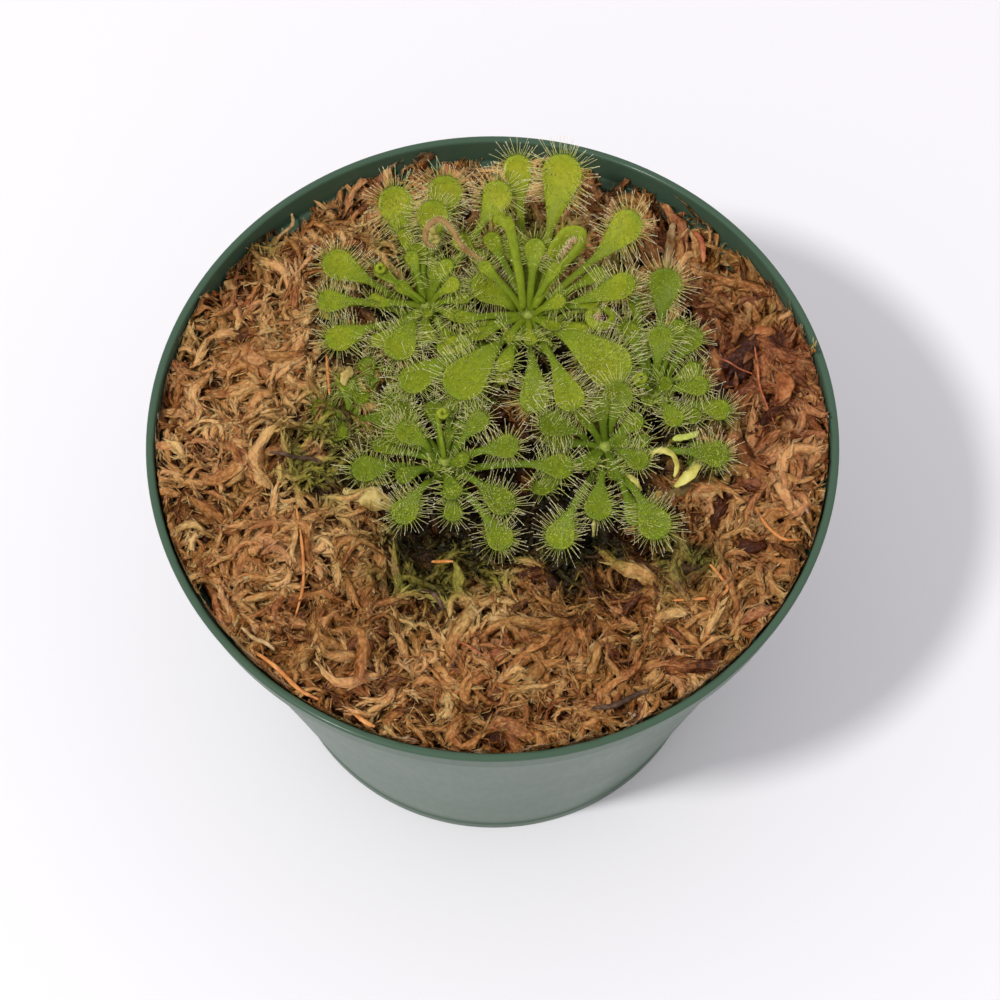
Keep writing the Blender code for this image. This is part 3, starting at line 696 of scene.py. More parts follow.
# Painted shade at each leaflet's foot, where it lies under the others, and a paler tip.
plume_tone = tone[..., None] + rng.normal(0.01, 0.06, half.shape) + (-0.08, 0.0, 0.0, 0.09)
blade_seed = seed[..., None] + rng.uniform(0, 3, half.shape) + np.zeros(4)
blade_x, blade_y = half * (0, 1, -1, 0) / MM, blade * (0, 0.45, 0.45, 1) / MM
plume_fibre = np.stack((blade_x, blade_y, blade_seed), axis=-1)
BLADE_FACES = np.array(((0, 3, 1), (0, 2, 3), (0, 1, 2), (1, 3, 2)))
for number, chosen in enumerate(np.array_split(np.argsort(x), PLUME_PIECES), 1):
    piece = build_tubes(f"moss_ribbons_{number}", ribbons[chosen], PLUME_SIDES)
    add_moss(piece, ribbons[chosen], ribbon_tone[chosen], ribbon_fibre[chosen], hue[chosen])
    firsts = 4 * np.arange(len(chosen) * PLUME_LEAVES)[:, None, None]
    piece = build_mesh(
        f"moss_leaflets_{number}", plumes[chosen].reshape(-1, 3), (firsts + BLADE_FACES).reshape(-1, 3))
    piece.data.shade_flat()
    add_moss(piece, plumes[chosen], plume_tone[chosen], plume_fibre[chosen], hue[chosen][..., None])

# Broad flat shreds of dead moss among them, none where the moss is green.
SHEETS = 900
SHEET_STOPS = 9
SHEET_SIDES = 8
SHEET_LIFT = 0.35 * MM
SHEET_FLATNESS = 0.14
x, y = scattered(SHEETS)
wanted = rng.random(SHEETS) < 0.30 + spots(x, y, SHEET_SPOTS) - 2 * greenness(x, y)
x, y = x[wanted], y[wanted]
count = len(x)
length = rng.uniform(5.0, 11.0, count) * MM
paths, depth = laid_paths(x, y, length, SHEET_STOPS)
paths[..., 2] += SHEET_LIFT
share = np.linspace(0.0, 1.0, SHEET_STOPS)
half = rng.uniform(0.5, 1.35, count)[:, None] * MM * np.sin(math.pi * np.clip(share, 0.06, 0.94)) ** 0.5
half = (half * rng.uniform(0.75, 1.2, half.shape))[:, 1:-1]
lean = unit(UP + rng.normal(0, 0.4, (count, 3)))[:, None]
bow = rng.uniform(-0.3, 0.7, (count, 1, 1))
sheets = kept_inside(swept_tubes(paths, half, SHEET_FLATNESS * half, SHEET_SIDES, lean, bow))
tone = tone_and_painted_shade(x, y, depth)[:, None] + rng.normal(-0.06, 0.04, sheets.shape[:2])
fibre = combed_fibre(half, length, rng.uniform(0, 900, (count, 1)), SHEET_SIDES)
hue = rng.normal(0.1, 0.35, (count, 1))
add_moss(build_tubes("moss_sheets", sheets, SHEET_SIDES), sheets, tone, fibre, hue)

# Loose threads on top of everything.
LOOSE = 2600
LOOSE_STOPS = 4
LOOSE_SIDES = 3
x, y = scattered(LOOSE)
paths = laid_paths(x, y, rng.uniform(1.5, 7.0, LOOSE) * MM, LOOSE_STOPS)[0]
paths[..., 2] += rng.uniform(0.1, 0.9, LOOSE)[:, None] * MM
half = rng.uniform(0.05, 0.13, LOOSE)[:, None] * MM * np.ones(LOOSE_STOPS - 2)
wisps = kept_inside(swept_tubes(paths, half, 0.7 * half, LOOSE_SIDES, UP))
# Darker where the moss is green, which takes in the painted shade under the plants.
tone = rng.uniform(0.25, 0.95, LOOSE) * (1 - 0.7 * greenness(x, y))
tone = np.broadcast_to(tone[:, None], wisps.shape[:2])
add_moss(build_tubes("moss_threads", wisps, LOOSE_SIDES), wisps, tone, wisps / MM)


def attribute(tree, name, output="Fac"):
    """What the mesh's points carry under the name."""
    return add_node(tree, "Attribute", output, {}, attribute_name=name)


def shifted(tree, base, pattern, middle, amount):
    """The base plus the amount times what the pattern has over its middle."""
    return worked_out(tree, "MULTIPLY_ADD", worked_out(tree, "ADD", pattern, -middle), amount, base)


def mixed(tree, share, first, second):
    """The first colour, replaced by the second in proportion to the share."""
    return add_node(tree, "Mix", 2, {0: share, 6: first, 7: second}, data_type="RGBA")


MOSS_COLOURS = {
    "tan": ((0.0, (0.058, 0.013, 0.0025)), (0.3, (0.24, 0.083, 0.014)), (0.6, (0.43, 0.188, 0.052)),
            (1.0, (0.70, 0.40, 0.155))),
    "red": ((0.0, (0.040, 0.008, 0.002)), (0.4, (0.20, 0.052, 0.014)), (1.0, (0.60, 0.28, 0.11))),
    "straw": ((0.0, (0.070, 0.026, 0.005)), (0.35, (0.28, 0.126, 0.026)), (1.0, (0.70, 0.46, 0.175))),
    "live": ((0.0, (0.009, 0.007, 0.0012)), (0.4, (0.062, 0.044, 0.006)), (1.0, (0.30, 0.26, 0.035))),
}
moss_fibre = new_material("moss_fibre", {
    "Specular IOR Level": 0.22, "Subsurface Weight": 0.45, "Subsurface Scale": 0.6 * MM,
    "Subsurface Radius": (1.0, 0.45, 0.15)})
tree = moss_fibre.node_tree
place = object_place(tree)
rust = attribute(tree, "rust")
fibre = attribute(tree, "fibre", "Vector")
combed = add_node(tree, "Mapping", "Vector", {"Vector": fibre, "Scale": (3.6, 1.1, 1.0)})
lines = noise(tree, combed, 1.0, 3.0, 0.6)
scaly = add_node(tree, "Mapping", "Vector", {"Vector": fibre, "Scale": (2.4, 1.5, 1.0)})
scaly = add_node(tree, "VectorMath", "Vector", {0: scaly, 1: lines.node.outputs["Color"]}, operation="ADD")
leaflets = add_node(tree, "TexVoronoi", "Distance", {"Vector": scaly, "Scale": 1.0})
wide = noise(tree, place, 300.0, 3.0)
leafy = noise(tree, place, 1300.0, 2.0)
# The tone attribute carries the strands' painted shade and painted light as well as their own tone.
shade = attribute(tree, "tone")
patterns = (lines, 0.5, 0.5), (leaflets, 0.36, -0.42), (wide, 0.5, 1.0), (leafy, 0.5, 0.4)
for pattern, middle, amount in patterns:
    shade = shifted(tree, shade, pattern, middle, amount)
ramps = {name: color_ramp(tree, shade, *stops) for name, stops in MOSS_COLOURS.items()}
dead = mixed(tree, rust, ramps["tan"], ramps["red"])
dead = mixed(tree, worked_out(tree, "MULTIPLY", rust, -1.0), dead, ramps["straw"])
bump = raised(tree, lines, 0.4, 0.25 * MM)
bump = raised(tree, leaflets, 0.7, 0.3 * MM, Normal=bump)
bump.node.invert = True
feed(tree, {
    "Base Color": mixed(tree, attribute(tree, "green"), dead, ramps["live"]),
    "Roughness": spread(tree, wide, 0.35, 0.65, 0.3, 0.75),
    "Normal": bump})
for piece in moss_pieces:
    finished(piece, moss_fibre, "moss_fibre", "moss_bed")


# Sundew leaves.
# Fleshy spoon-shaped leaves, each grown from the side of its crown on a flat hairy stalk that
# broadens slowly into a round, slightly dished blade.

LEAF_ROWS = 40
LEAF_SIDES = 16
END_POINTS = 6
MIDLINE_POINTS = 120
STALK_HALF = 0.60 * MM
STALK_DEPTH = 0.42 * MM
BLADE_DEPTH = 0.27 * MM
ROOT_PUSH = (1.3 * MM, 0.4 * MM)
# For each rosette: how long its leaves' wedges are, how warm its green is, and how much warmer for
# each millimetre that a leaf runs to the back. Both are partly painted light and shade: below nought
# the green turns to the deep green of painted shade, which darkens the front rosettes.
LOOKS = {
    "back": (1.45, 0.70, 0.030), "left": (1.1, 0.6, 0.020), "front_left": (0.95, -0.42, -0.020),
    "front_right": (0.95, -0.48, -0.025), "right": (1.0, -0.1, -0.010),
}
STIPPLED = {
    "leaf_front_left_04", "leaf_front_left_07", "leaf_front_left_01", "leaf_front_right_01",
    "leaf_front_right_02", "leaf_front_right_03", "leaf_back_03", "leaf_back_04", "leaf_left_06",
    "leaf_front_left_05",
}


def rosette_of(name):
    """The rosette that a CAD leaf belongs to: its name without leaf_ and its number."""
    return name[5:-3]


def measured_leaf(name):
    """A CAD leaf's midline and widest half-width. Its points are read in the upright plane that holds
    the crown's axis and the leaf, along and square to the line from its root to its tip, and a
    polynomial through them gives the midline."""
    points = node_points(name)
    crown = CROWNS[rosette_of(name)]
    level = unit(np.append(points[:, :2].mean(axis=0) - crown[:2], 0.0))
    across = np.array((-level[1], level[0], 0.0))
    plane = np.column_stack(((points - crown) @ level, points[:, 2] - crown[2]))
    centred = plane - plane.mean(axis=0)
    order = np.argsort(centred @ np.linalg.svd(centred, full_matrices=False)[2][0])
    if np.linalg.norm(plane[order[-1]]) < np.linalg.norm(plane[order[0]]):
        order = order[::-1]
    root, tip = plane[order[:END_POINTS]].mean(axis=0), plane[order[-END_POINTS:]].mean(axis=0)
    reach = np.linalg.norm(tip - root)
    chord = (tip - root) / reach
    square = np.array((-chord[1], chord[0]))
    bend = np.polyfit((plane - root) @ chord, (plane - root) @ square, 5)
    places = np.linspace(-0.3 * MM, reach, MIDLINE_POINTS)
    curve = root + places[:, None] * chord + np.polyval(bend, places)[:, None] * square
    curve = np.vstack((curve[0] - ROOT_PUSH, curve))
    midline = crown + curve[:, :1] * level + curve[:, 1:] * UP
    return midline, across, np.abs((points - crown) @ across).max()


def travelled(line):
    """How far along the polyline each of its points lies."""
    return np.concatenate(([0.0], np.cumsum(np.linalg.norm(np.diff(line, axis=0), axis=1))))


def read_line(line, at):
    """Points of the polyline at the given distances along it."""
    return np.column_stack([np.interp(at, travelled(line), line[:, k]) for k in range(3)])


def spoon_half_width(from_tip, widest, length, wedge_length):
    """Half-width of a leaf by its distance from the tip: a half circle, then a long wedge that eases
    into the stalk, which broadens a little again at its root."""
    taper = min(wedge_length * 2 * widest, 0.8 * (length - widest))
    circle = np.sqrt(np.clip(1 - (1 - from_tip / widest) ** 2, 0, 1))
    wedge = (1 - np.clip((from_tip - widest) / taper, 0, 1) ** 1.3) ** 1.5
    stalk = STALK_HALF * (1 + 0.35 * np.clip((from_tip / length - 0.8) / 0.2, 0, 1) ** 2)
    return np.where(from_tip < widest, widest * circle, np.maximum(stalk, stalk + (widest - stalk) * wedge))


def leaf_surface(midline, across, widest, dish, roll, wave, wedge_length=1.2):
    """The leaf as rings round its midline: the ring is a flat lens whose edges are lifted by the dish,
    and which turns about the midline by the roll from root to tip. Also the frames of its rows."""
    shares = 1 - (1 - np.linspace(0.0, 1.0, LEAF_ROWS)) ** 1.25
    length = travelled(midline)[-1]
    rows = read_line(midline, shares * length)
    from_tip = (1 - shares) * length
    half = spoon_half_width(from_tip, widest, length, wedge_length)
    along = unit(np.gradient(rows, axis=0))
    turn = (roll * shares**2)[:, None]
    side = across * np.cos(turn) + np.cross(along, across) * np.sin(turn)
    lift = np.cross(along, side)
    blade = np.clip((half - STALK_HALF) / (widest - STALK_HALF), 0, 1)
    depth = STALK_DEPTH + (BLADE_DEPTH - STALK_DEPTH) * blade
    depth = depth * np.sqrt(np.clip(from_tip / (0.5 * MM), 0, 1))
    x, z = np.cos(round_turn(LEAF_SIDES)), np.sin(round_turn(LEAF_SIDES))
    edge_wave = wave * np.sin(from_tip / (1.1 * MM))[:, None] * x**2 * np.sign(x)
    hollow = dish * half[:, None] * (x**2 - 0.35) - 0.12 * MM * (1 - x**2)
    crease = -0.1 * MM * np.exp(-(x / 0.16) ** 2) * np.clip(z, 0, 1)
    offset = depth[:, None] * z * (1 - 0.35 * x**2) + (hollow + crease + edge_wave) * blade[:, None]
    rings = rows[:, None] + side[:, None] * (half[:, None] * x)[..., None] + lift[:, None] * offset[..., None]
    return rings, {
        "rows": rows, "side": side, "lift": lift, "along": along, "half": half, "dish": dish, "depth": depth,
        "from_tip": from_tip, "length": length, "widest": widest, "blade": blade}


def edgewards(rows, sides):
    """One at a leaf's edges, falling to nought on its midrib."""
    return np.concatenate(([1.0], np.tile(np.cos(round_turn(sides)) ** 4, rows), [1.0]))


def paint_leaf(piece, reach, tint, glands, edge):
    """What the leaf's skin reads: how far out on the blade, how warm, how studded, how near the edge."""
    for name, values in (("reach", reach), ("tint", tint), ("glands", glands), ("edge", edge)):
        paint(piece, name, np.broadcast_to(values, len(piece.data.vertices)))


leaf_pieces = {}
LEAVES = {}
for name in LEAF_NAMES:
    wedge_length, warmth_and_shade, backward_warmth_light_and_shade = LOOKS[rosette_of(name)]
    midline, across, widest = measured_leaf(name)
    rings, leaf = leaf_surface(midline, across, widest, rng.uniform(0.10, 0.32), rng.normal(0, 0.14),
                               rng.uniform(0.02, 0.09) * MM, wedge_length)
    points = capped(rings[0].mean(axis=0), rings[1:-1], rings[-1].mean(axis=0))
    reach = ringed(0.0, leaf["blade"][1:-1], 1.0, LEAF_SIDES)
    # The tint: the leaf's warmth of green together with painted light and shade, set by its rosette and by
    # how far it runs to the back.
    tint = rng.normal(warmth_and_shade, 0.20) + backward_warmth_light_and_shade * (midline[-1, 1] - midline[0, 1]) / MM
    leaf_pieces[name] = build_tubes("skin_" + name, points, LEAF_SIDES)
    glands = reach * (0.95 if name in STIPPLED else 0.4)
    paint_leaf(leaf_pieces[name], reach, tint, glands, reach * edgewards(LEAF_ROWS - 2, LEAF_SIDES))
    LEAVES[name] = leaf

leaf_skin = new_material("leaf_skin", {
    "Specular IOR Level": 0.09, "Subsurface Weight": 0.22, "Subsurface Scale": 0.6 * MM,
    "Subsurface Radius": (0.7, 1.0, 0.25)})
tree = leaf_skin.node_tree
place = object_place(tree)
reach, tint, glands, edge = (attribute(tree, name) for name in ("reach", "tint", "glands", "edge"))
cells, normal = fine_grain(tree, place, 1500.0, 2.0, 0.35, 0.08 * MM)
green = color_ramp(tree, reach, (0.0, (0.128, 0.190, 0.010)), (0.35, (0.140, 0.200, 0.009)),
                   (1.0, (0.152, 0.200, 0.006)))
# The warm green where the tint is high is partly painted light, and the deep green where it is below nought
# is painted shade.
warm = color_ramp(tree, reach, (0.0, (0.190, 0.235, 0.014)), (0.6, (0.255, 0.300, 0.012)),
                  (1.0, (0.300, 0.310, 0.016)))
deep = color_ramp(tree, reach, (0.0, (0.070, 0.112, 0.006)), (1.0, (0.092, 0.130, 0.005)))
lean = worked_out(tree, "MULTIPLY", noise(tree, place, 300.0, 3.0), tint)
skin = mixed(tree, worked_out(tree, "MULTIPLY", lean, 1.3), green, warm)
skin = mixed(tree, worked_out(tree, "MULTIPLY", tint, -1.0), skin, deep)
dots = add_node(tree, "TexVoronoi", "Distance", {"Vector": place, "Scale": 2300.0})
dots = worked_out(tree, "MULTIPLY", spread(tree, dots, 0.20, 0.42, 0.75, 0.0), glands)
skin = mixed(tree, dots, skin, (0.40, 0.46, 0.07, 1.0))
skin = mixed(tree, worked_out(tree, "MULTIPLY", edge, 0.35), skin, (0.29, 0.35, 0.03, 1.0))
fleck = spread(tree, cells, 0.3, 0.7, 0.86, 1.12)
feed(tree, {
    "Base Color": add_node(tree, "VectorMath", "Vector", {0: skin, "Scale": fleck}, operation="SCALE"),
    "Roughness": spread(tree, cells, 0.0, 1.0, 0.35, 0.6),
    "Normal": normal})
for name, piece in leaf_pieces.items():
    finished(piece, leaf_skin, "leaf_skin", name)


# Tentacles and hairs.
# Every blade is edged and studded with glandular tentacles, glassy stalks with a swollen rosy head
# that carries the glue; the flat stalks of the leaves bear short colourless hairs.

# Places along a tentacle as shares of its length, and its radii at the foot, stalk, neck and head.
TENTACLE_STOPS = np.array((0.0, 0.03, 0.42, 0.84, 0.95, 1.0))
TENTACLE_RADII = np.array((0.078, 0.040, 0.033, 0.058)) * MM
EDGE_GAP = 0.30 * MM
FEW_STUDS = 55
MANY_STUDS = 170
HAIR_STOPS = np.array((0.0, 0.05, 0.6, 1.0))
HAIR_GAP = 0.35 * MM


def row_lookup(leaf, places):
    """The leaf's frame, half-width and depth at fractional row numbers."""
    low = np.clip(places.astype(int), 0, LEAF_ROWS - 2)
    part = places - low
    found = {}
    for key in ("rows", "side", "lift", "along", "half", "depth", "blade"):
        share = part[:, None] if leaf[key].ndim == 2 else part
        found[key] = leaf[key][low] * (1 - share) + leaf[key][low + 1] * share
    return found


def margin_feet(leaf, gap, draw):
    """Feet evenly along the blade's edge, up one side and down the other, with the outward direction
    in the blade's plane, its upward normal and the midline beside each foot."""
    keep = leaf["from_tip"] < 2.6 * leaf["widest"]
    aside = leaf["side"] * leaf["half"][:, None]
    middle = leaf["rows"] + leaf["lift"] * (leaf["dish"] * 0.6 * leaf["half"] * leaf["blade"])[:, None]
    loop = np.vstack(((middle + aside)[keep], (middle - aside)[keep][::-1]))
    rows = np.arange(LEAF_ROWS)[keep]
    distance = travelled(loop)
    count = int(distance[-1] / gap)
    at = (np.arange(count) + draw.uniform(0.1, 0.9, count)) * distance[-1] / count
    found = row_lookup(leaf, np.interp(at, distance, np.concatenate((rows, rows[::-1])).astype(float)))
    ahead = unit(read_line(loop, at + 0.1 * MM) - read_line(loop, at - 0.1 * MM))
    return read_line(loop, at), unit(np.cross(found["lift"], ahead)), found["lift"], found["rows"]


def tentacle_paths(feet, direction, curl_to, length, curl):
    """A stalk that leaves its foot along the direction and bends towards curl_to with the square of
    its length."""
    stops = TENTACLE_STOPS[:, None]
    length = length[:, None, None]
    return feet[:, None] + stops * length * direction[:, None] + (
        curl[:, None, None] * stops**2 * length * curl_to[:, None])


def leaf_tentacles(leaf, studs, draw, gap=EDGE_GAP):
    """Paths, girths and paleness of one leaf's tentacles: first an outer fringe in the blade's plane
    with a second one that stands up inside it, and then short pale studs over the face."""
    size = 0.55 + 0.45 * min(1.15, leaf["widest"] / (2.6 * MM))
    paths, girths = [], []
    for inset, low, high, longest, spacing in (0.0, -0.25, 0.5, 2.9, gap), (0.2, 0.3, 1.2, 1.8, 1.2 * gap):
        feet, outward, lift, middle = margin_feet(leaf, spacing, draw)
        count = len(feet)
        feet = feet + (middle - feet) * (inset * draw.uniform(0.5, 1.5, count))[:, None]
        rise = draw.uniform(low, high, count)[:, None]
        direction = unit(outward * np.cos(rise) + lift * np.sin(rise) + draw.normal(0, 0.15, (count, 3)))
        length = longest * MM * size * draw.uniform(0.55, 1.2, count)
        paths.append(tentacle_paths(feet, direction, lift, length, draw.uniform(-0.15, 0.4, count)))
        girths.append(draw.uniform(0.58, 0.92, count))
    at = row_lookup(leaf, LEAF_ROWS - 1 - draw.uniform(0, 1, studs) ** 0.8 * 0.55 * LEAF_ROWS)
    x = draw.uniform(-0.85, 0.85, studs)
    stand = 0.5 * at["depth"] + leaf["dish"] * at["half"] * (x**2 - 0.35) * at["blade"]
    feet = at["rows"] + at["side"] * (x * at["half"])[:, None] + at["lift"] * stand[:, None]
    direction = unit(at["lift"] + at["side"] * (0.7 * x)[:, None] + draw.normal(0, 0.15, (studs, 3)))
    length = draw.uniform(0.25, 0.75, studs) * MM * (0.6 + 0.7 * np.abs(x))
    fringe = np.concatenate(paths), np.concatenate(girths), draw.random(sum(map(len, girths)))
    stud_paths = tentacle_paths(feet, direction, at["along"], length, draw.uniform(-0.1, 0.2, studs))
    return fringe, (stud_paths, draw.uniform(0.8, 1.1, studs), draw.uniform(0.7, 1.0, studs))


def fine_tubes(name, paths, radii):
    """Three-sided tubes along nearly straight paths, with the radii given for their inner stops."""
    up = unit(np.cross(paths[:, -1] - paths[:, 0], (0.31, 0.52, 0.79)))[:, None]
    return build_tubes(name, swept_tubes(paths, radii, radii, 3, up), 3)


def build_tentacles(name, groups, bent=True, blush=1.0):
    """One piece of stalks with swollen heads; `reach` runs from foot to head, and blush spreads the
    colour of the heads down the stalks. Short ones go straight, with no middle ring."""
    paths, girths, tints = (np.concatenate(parts) for parts in zip(*groups))
    stops, radii = TENTACLE_STOPS, TENTACLE_RADII
    if not bent:
        paths, stops, radii = np.delete(paths, 2, axis=1), np.delete(stops, 2), np.delete(radii, 1)
        blush = 0.62
    piece = fine_tubes(name, paths, radii * girths[:, None])
    reach = ringed(0.0, stops[1:-1], 1.0, 3)
    paint(piece, "reach", np.tile(reach * blush, len(paths)))
    paint(piece, "tint", np.repeat(tints, len(reach)))
    return piece


def build_hairs(name, feet, ways, length, radii, reach, tint):
    """One piece of short straight hairs, thinner towards their tips."""
    paths = feet[:, None] + HAIR_STOPS[:, None] * (length[:, None] * ways)[:, None]
    piece = fine_tubes(name, paths, np.tile(radii, (len(paths), 1)))
    paint(piece, "reach", np.full(len(piece.data.vertices), reach))
    paint(piece, "tint", np.full(len(piece.data.vertices), tint))
    return piece


tentacle_pieces = []
for rosette in ROSETTES:
    fringes, studs = zip(*(
        leaf_tentacles(leaf, MANY_STUDS if name in STIPPLED else FEW_STUDS, rng)
        for name, leaf in LEAVES.items() if rosette_of(name) == rosette))
    tentacle_pieces.append(build_tentacles("tentacles_" + rosette, fringes))
    tentacle_pieces.append(build_tentacles("gland_studs_" + rosette, studs, bent=False))
hair_feet, hair_ways = [], []
for leaf in LEAVES.values():
    count = int(leaf["length"] / HAIR_GAP)
    at = row_lookup(leaf, rng.uniform(2, 0.72 * LEAF_ROWS, count))
    x = rng.choice((-1.0, -0.5, 0.0, 0.5, 1.0), count)
    stand = 0.8 * at["depth"] * np.sqrt(1 - 0.8 * x**2)
    hair_feet.append(at["rows"] + at["side"] * (0.95 * x * at["half"])[:, None] + at["lift"] * stand[:, None])
    way = at["lift"] + at["side"] * (1.3 * x)[:, None] + at["along"] * 0.4 + rng.normal(0, 0.35, (count, 3))
    hair_ways.append(unit(way))
hair_feet, hair_ways = np.concatenate(hair_feet), np.concatenate(hair_ways)
tentacle_pieces.append(build_hairs(
    "stalk_hairs", hair_feet, hair_ways, rng.uniform(0.4, 1.1, len(hair_feet)) * MM,
    (0.04 * MM, 0.02 * MM), 0.5, 0.2))

tentacle_skin = new_material("tentacle_skin", {
    "Specular IOR Level": 0.4, "Subsurface Weight": 0.5, "Subsurface Scale": 0.15 * MM,
    "Subsurface Radius": (1.0, 1.0, 0.5)})
tree = tentacle_skin.node_tree
reach = attribute(tree, "reach")
rosy = color_ramp(tree, reach, (0.0, (0.20, 0.29, 0.03)), (0.3, (0.56, 0.57, 0.13)),
                  (0.65, (0.89, 0.81, 0.34)), (0.87, (0.96, 0.76, 0.41)), (1.0, (0.82, 0.45, 0.27)))
pale = color_ramp(tree, reach, (0.0, (0.22, 0.31, 0.03)), (0.35, (0.54, 0.58, 0.12)),
                  (0.85, (0.94, 0.89, 0.46)), (1.0, (0.96, 0.90, 0.54)))
feed(tree, {
    "Base Color": mixed(tree, attribute(tree, "tint"), rosy, pale),
    "Roughness": spread(tree, reach, 0.7, 0.9, 0.5, 0.15)})
for piece in tentacle_pieces:
    finished(piece, tentacle_skin, "leaf_skin")


# Crowns.
# The short stem of each rosette: leaf bases that clasp one another in a spiral round a bud, green above
# and brown where it goes down into the moss as a root, with papery fringed scales between them.

CROWN_ROWS = 30
CROWN_SIDES = 40
CROWN_SCALES = 70
# Depths under a crown's top and its radii there, in millimetres.
CROWN_TAPER = (0.0, 0.25, 0.9, 2.0, 5.0, 12.0), (0.12, 0.62, 1.1, 1.4, 1.25, 0.3)
crown_pieces = {}
scale_feet, scale_ways = [], []
for name, crown in CROWNS.items():
    bottom = crown_feet[name]
    height = bottom + (crown[2] + 0.3 * MM - bottom) * np.linspace(0.0, 1.0, CROWN_ROWS)[:, None]
    from_top = crown[2] + 0.3 * MM - height
    radius = np.interp(from_top / MM, *CROWN_TAPER) * MM
    spiral = np.abs(np.sin(1.5 * round_turn(CROWN_SIDES) + 900 * height))
    clasped = radius * (1 + 0.24 * spiral * np.exp(-from_top / (4 * MM)))
    axis = crown * (1, 1, 0)
    rings = axis + level_rings(clasped, height, CROWN_SIDES)
    points = capped(axis + UP * (bottom - 0.1 * MM), rings, axis + UP * (height[-1] + 0.1 * MM))
    piece = build_tubes("clasped_crown_" + name, points, CROWN_SIDES)
    paint(piece, "reach", ringed(0.0, np.exp(-from_top / (2.2 * MM)), 1.0, CROWN_SIDES))
    crown_pieces["crown_" + name] = piece
    turn = rng.uniform(0, 2 * math.pi, CROWN_SCALES)
    level = np.column_stack((np.cos(turn), np.sin(turn), 0 * turn))
    drop = rng.uniform(0.1, 1.7, CROWN_SCALES)[:, None] * MM
    scale_feet.append(crown + level * np.minimum(1.1 * MM, 0.5 * MM + 0.7 * drop) - UP * drop)
    scale_ways.append(unit(0.5 * level + UP + rng.normal(0, 0.3, (CROWN_SCALES, 3))))

crown_skin = new_material("crown_skin", {"Specular IOR Level": 0.15, "Roughness": 0.55})
tree = crown_skin.node_tree
flecks, normal = fine_grain(tree, object_place(tree), 1400.0, 3.0, 0.5, 0.15 * MM)
fresh = shifted(tree, attribute(tree, "reach"), flecks, 0.5, 0.7)
feed(tree, {
    "Base Color": color_ramp(tree, fresh, (0.0, (0.05, 0.025, 0.010)), (0.3, (0.12, 0.11, 0.02)),
                             (0.6, (0.19, 0.25, 0.03)), (1.0, (0.30, 0.36, 0.06))),
    "Normal": normal})
for name, piece in crown_pieces.items():
    finished(piece, crown_skin, "stem_skin", name)


# Young leaves and seedlings.
# Small leaves that have opened late or are still half folded, some of them grown from the crowns and
# some from seedlings in the moss: thin spoons on short stalks, with the same tentacles.

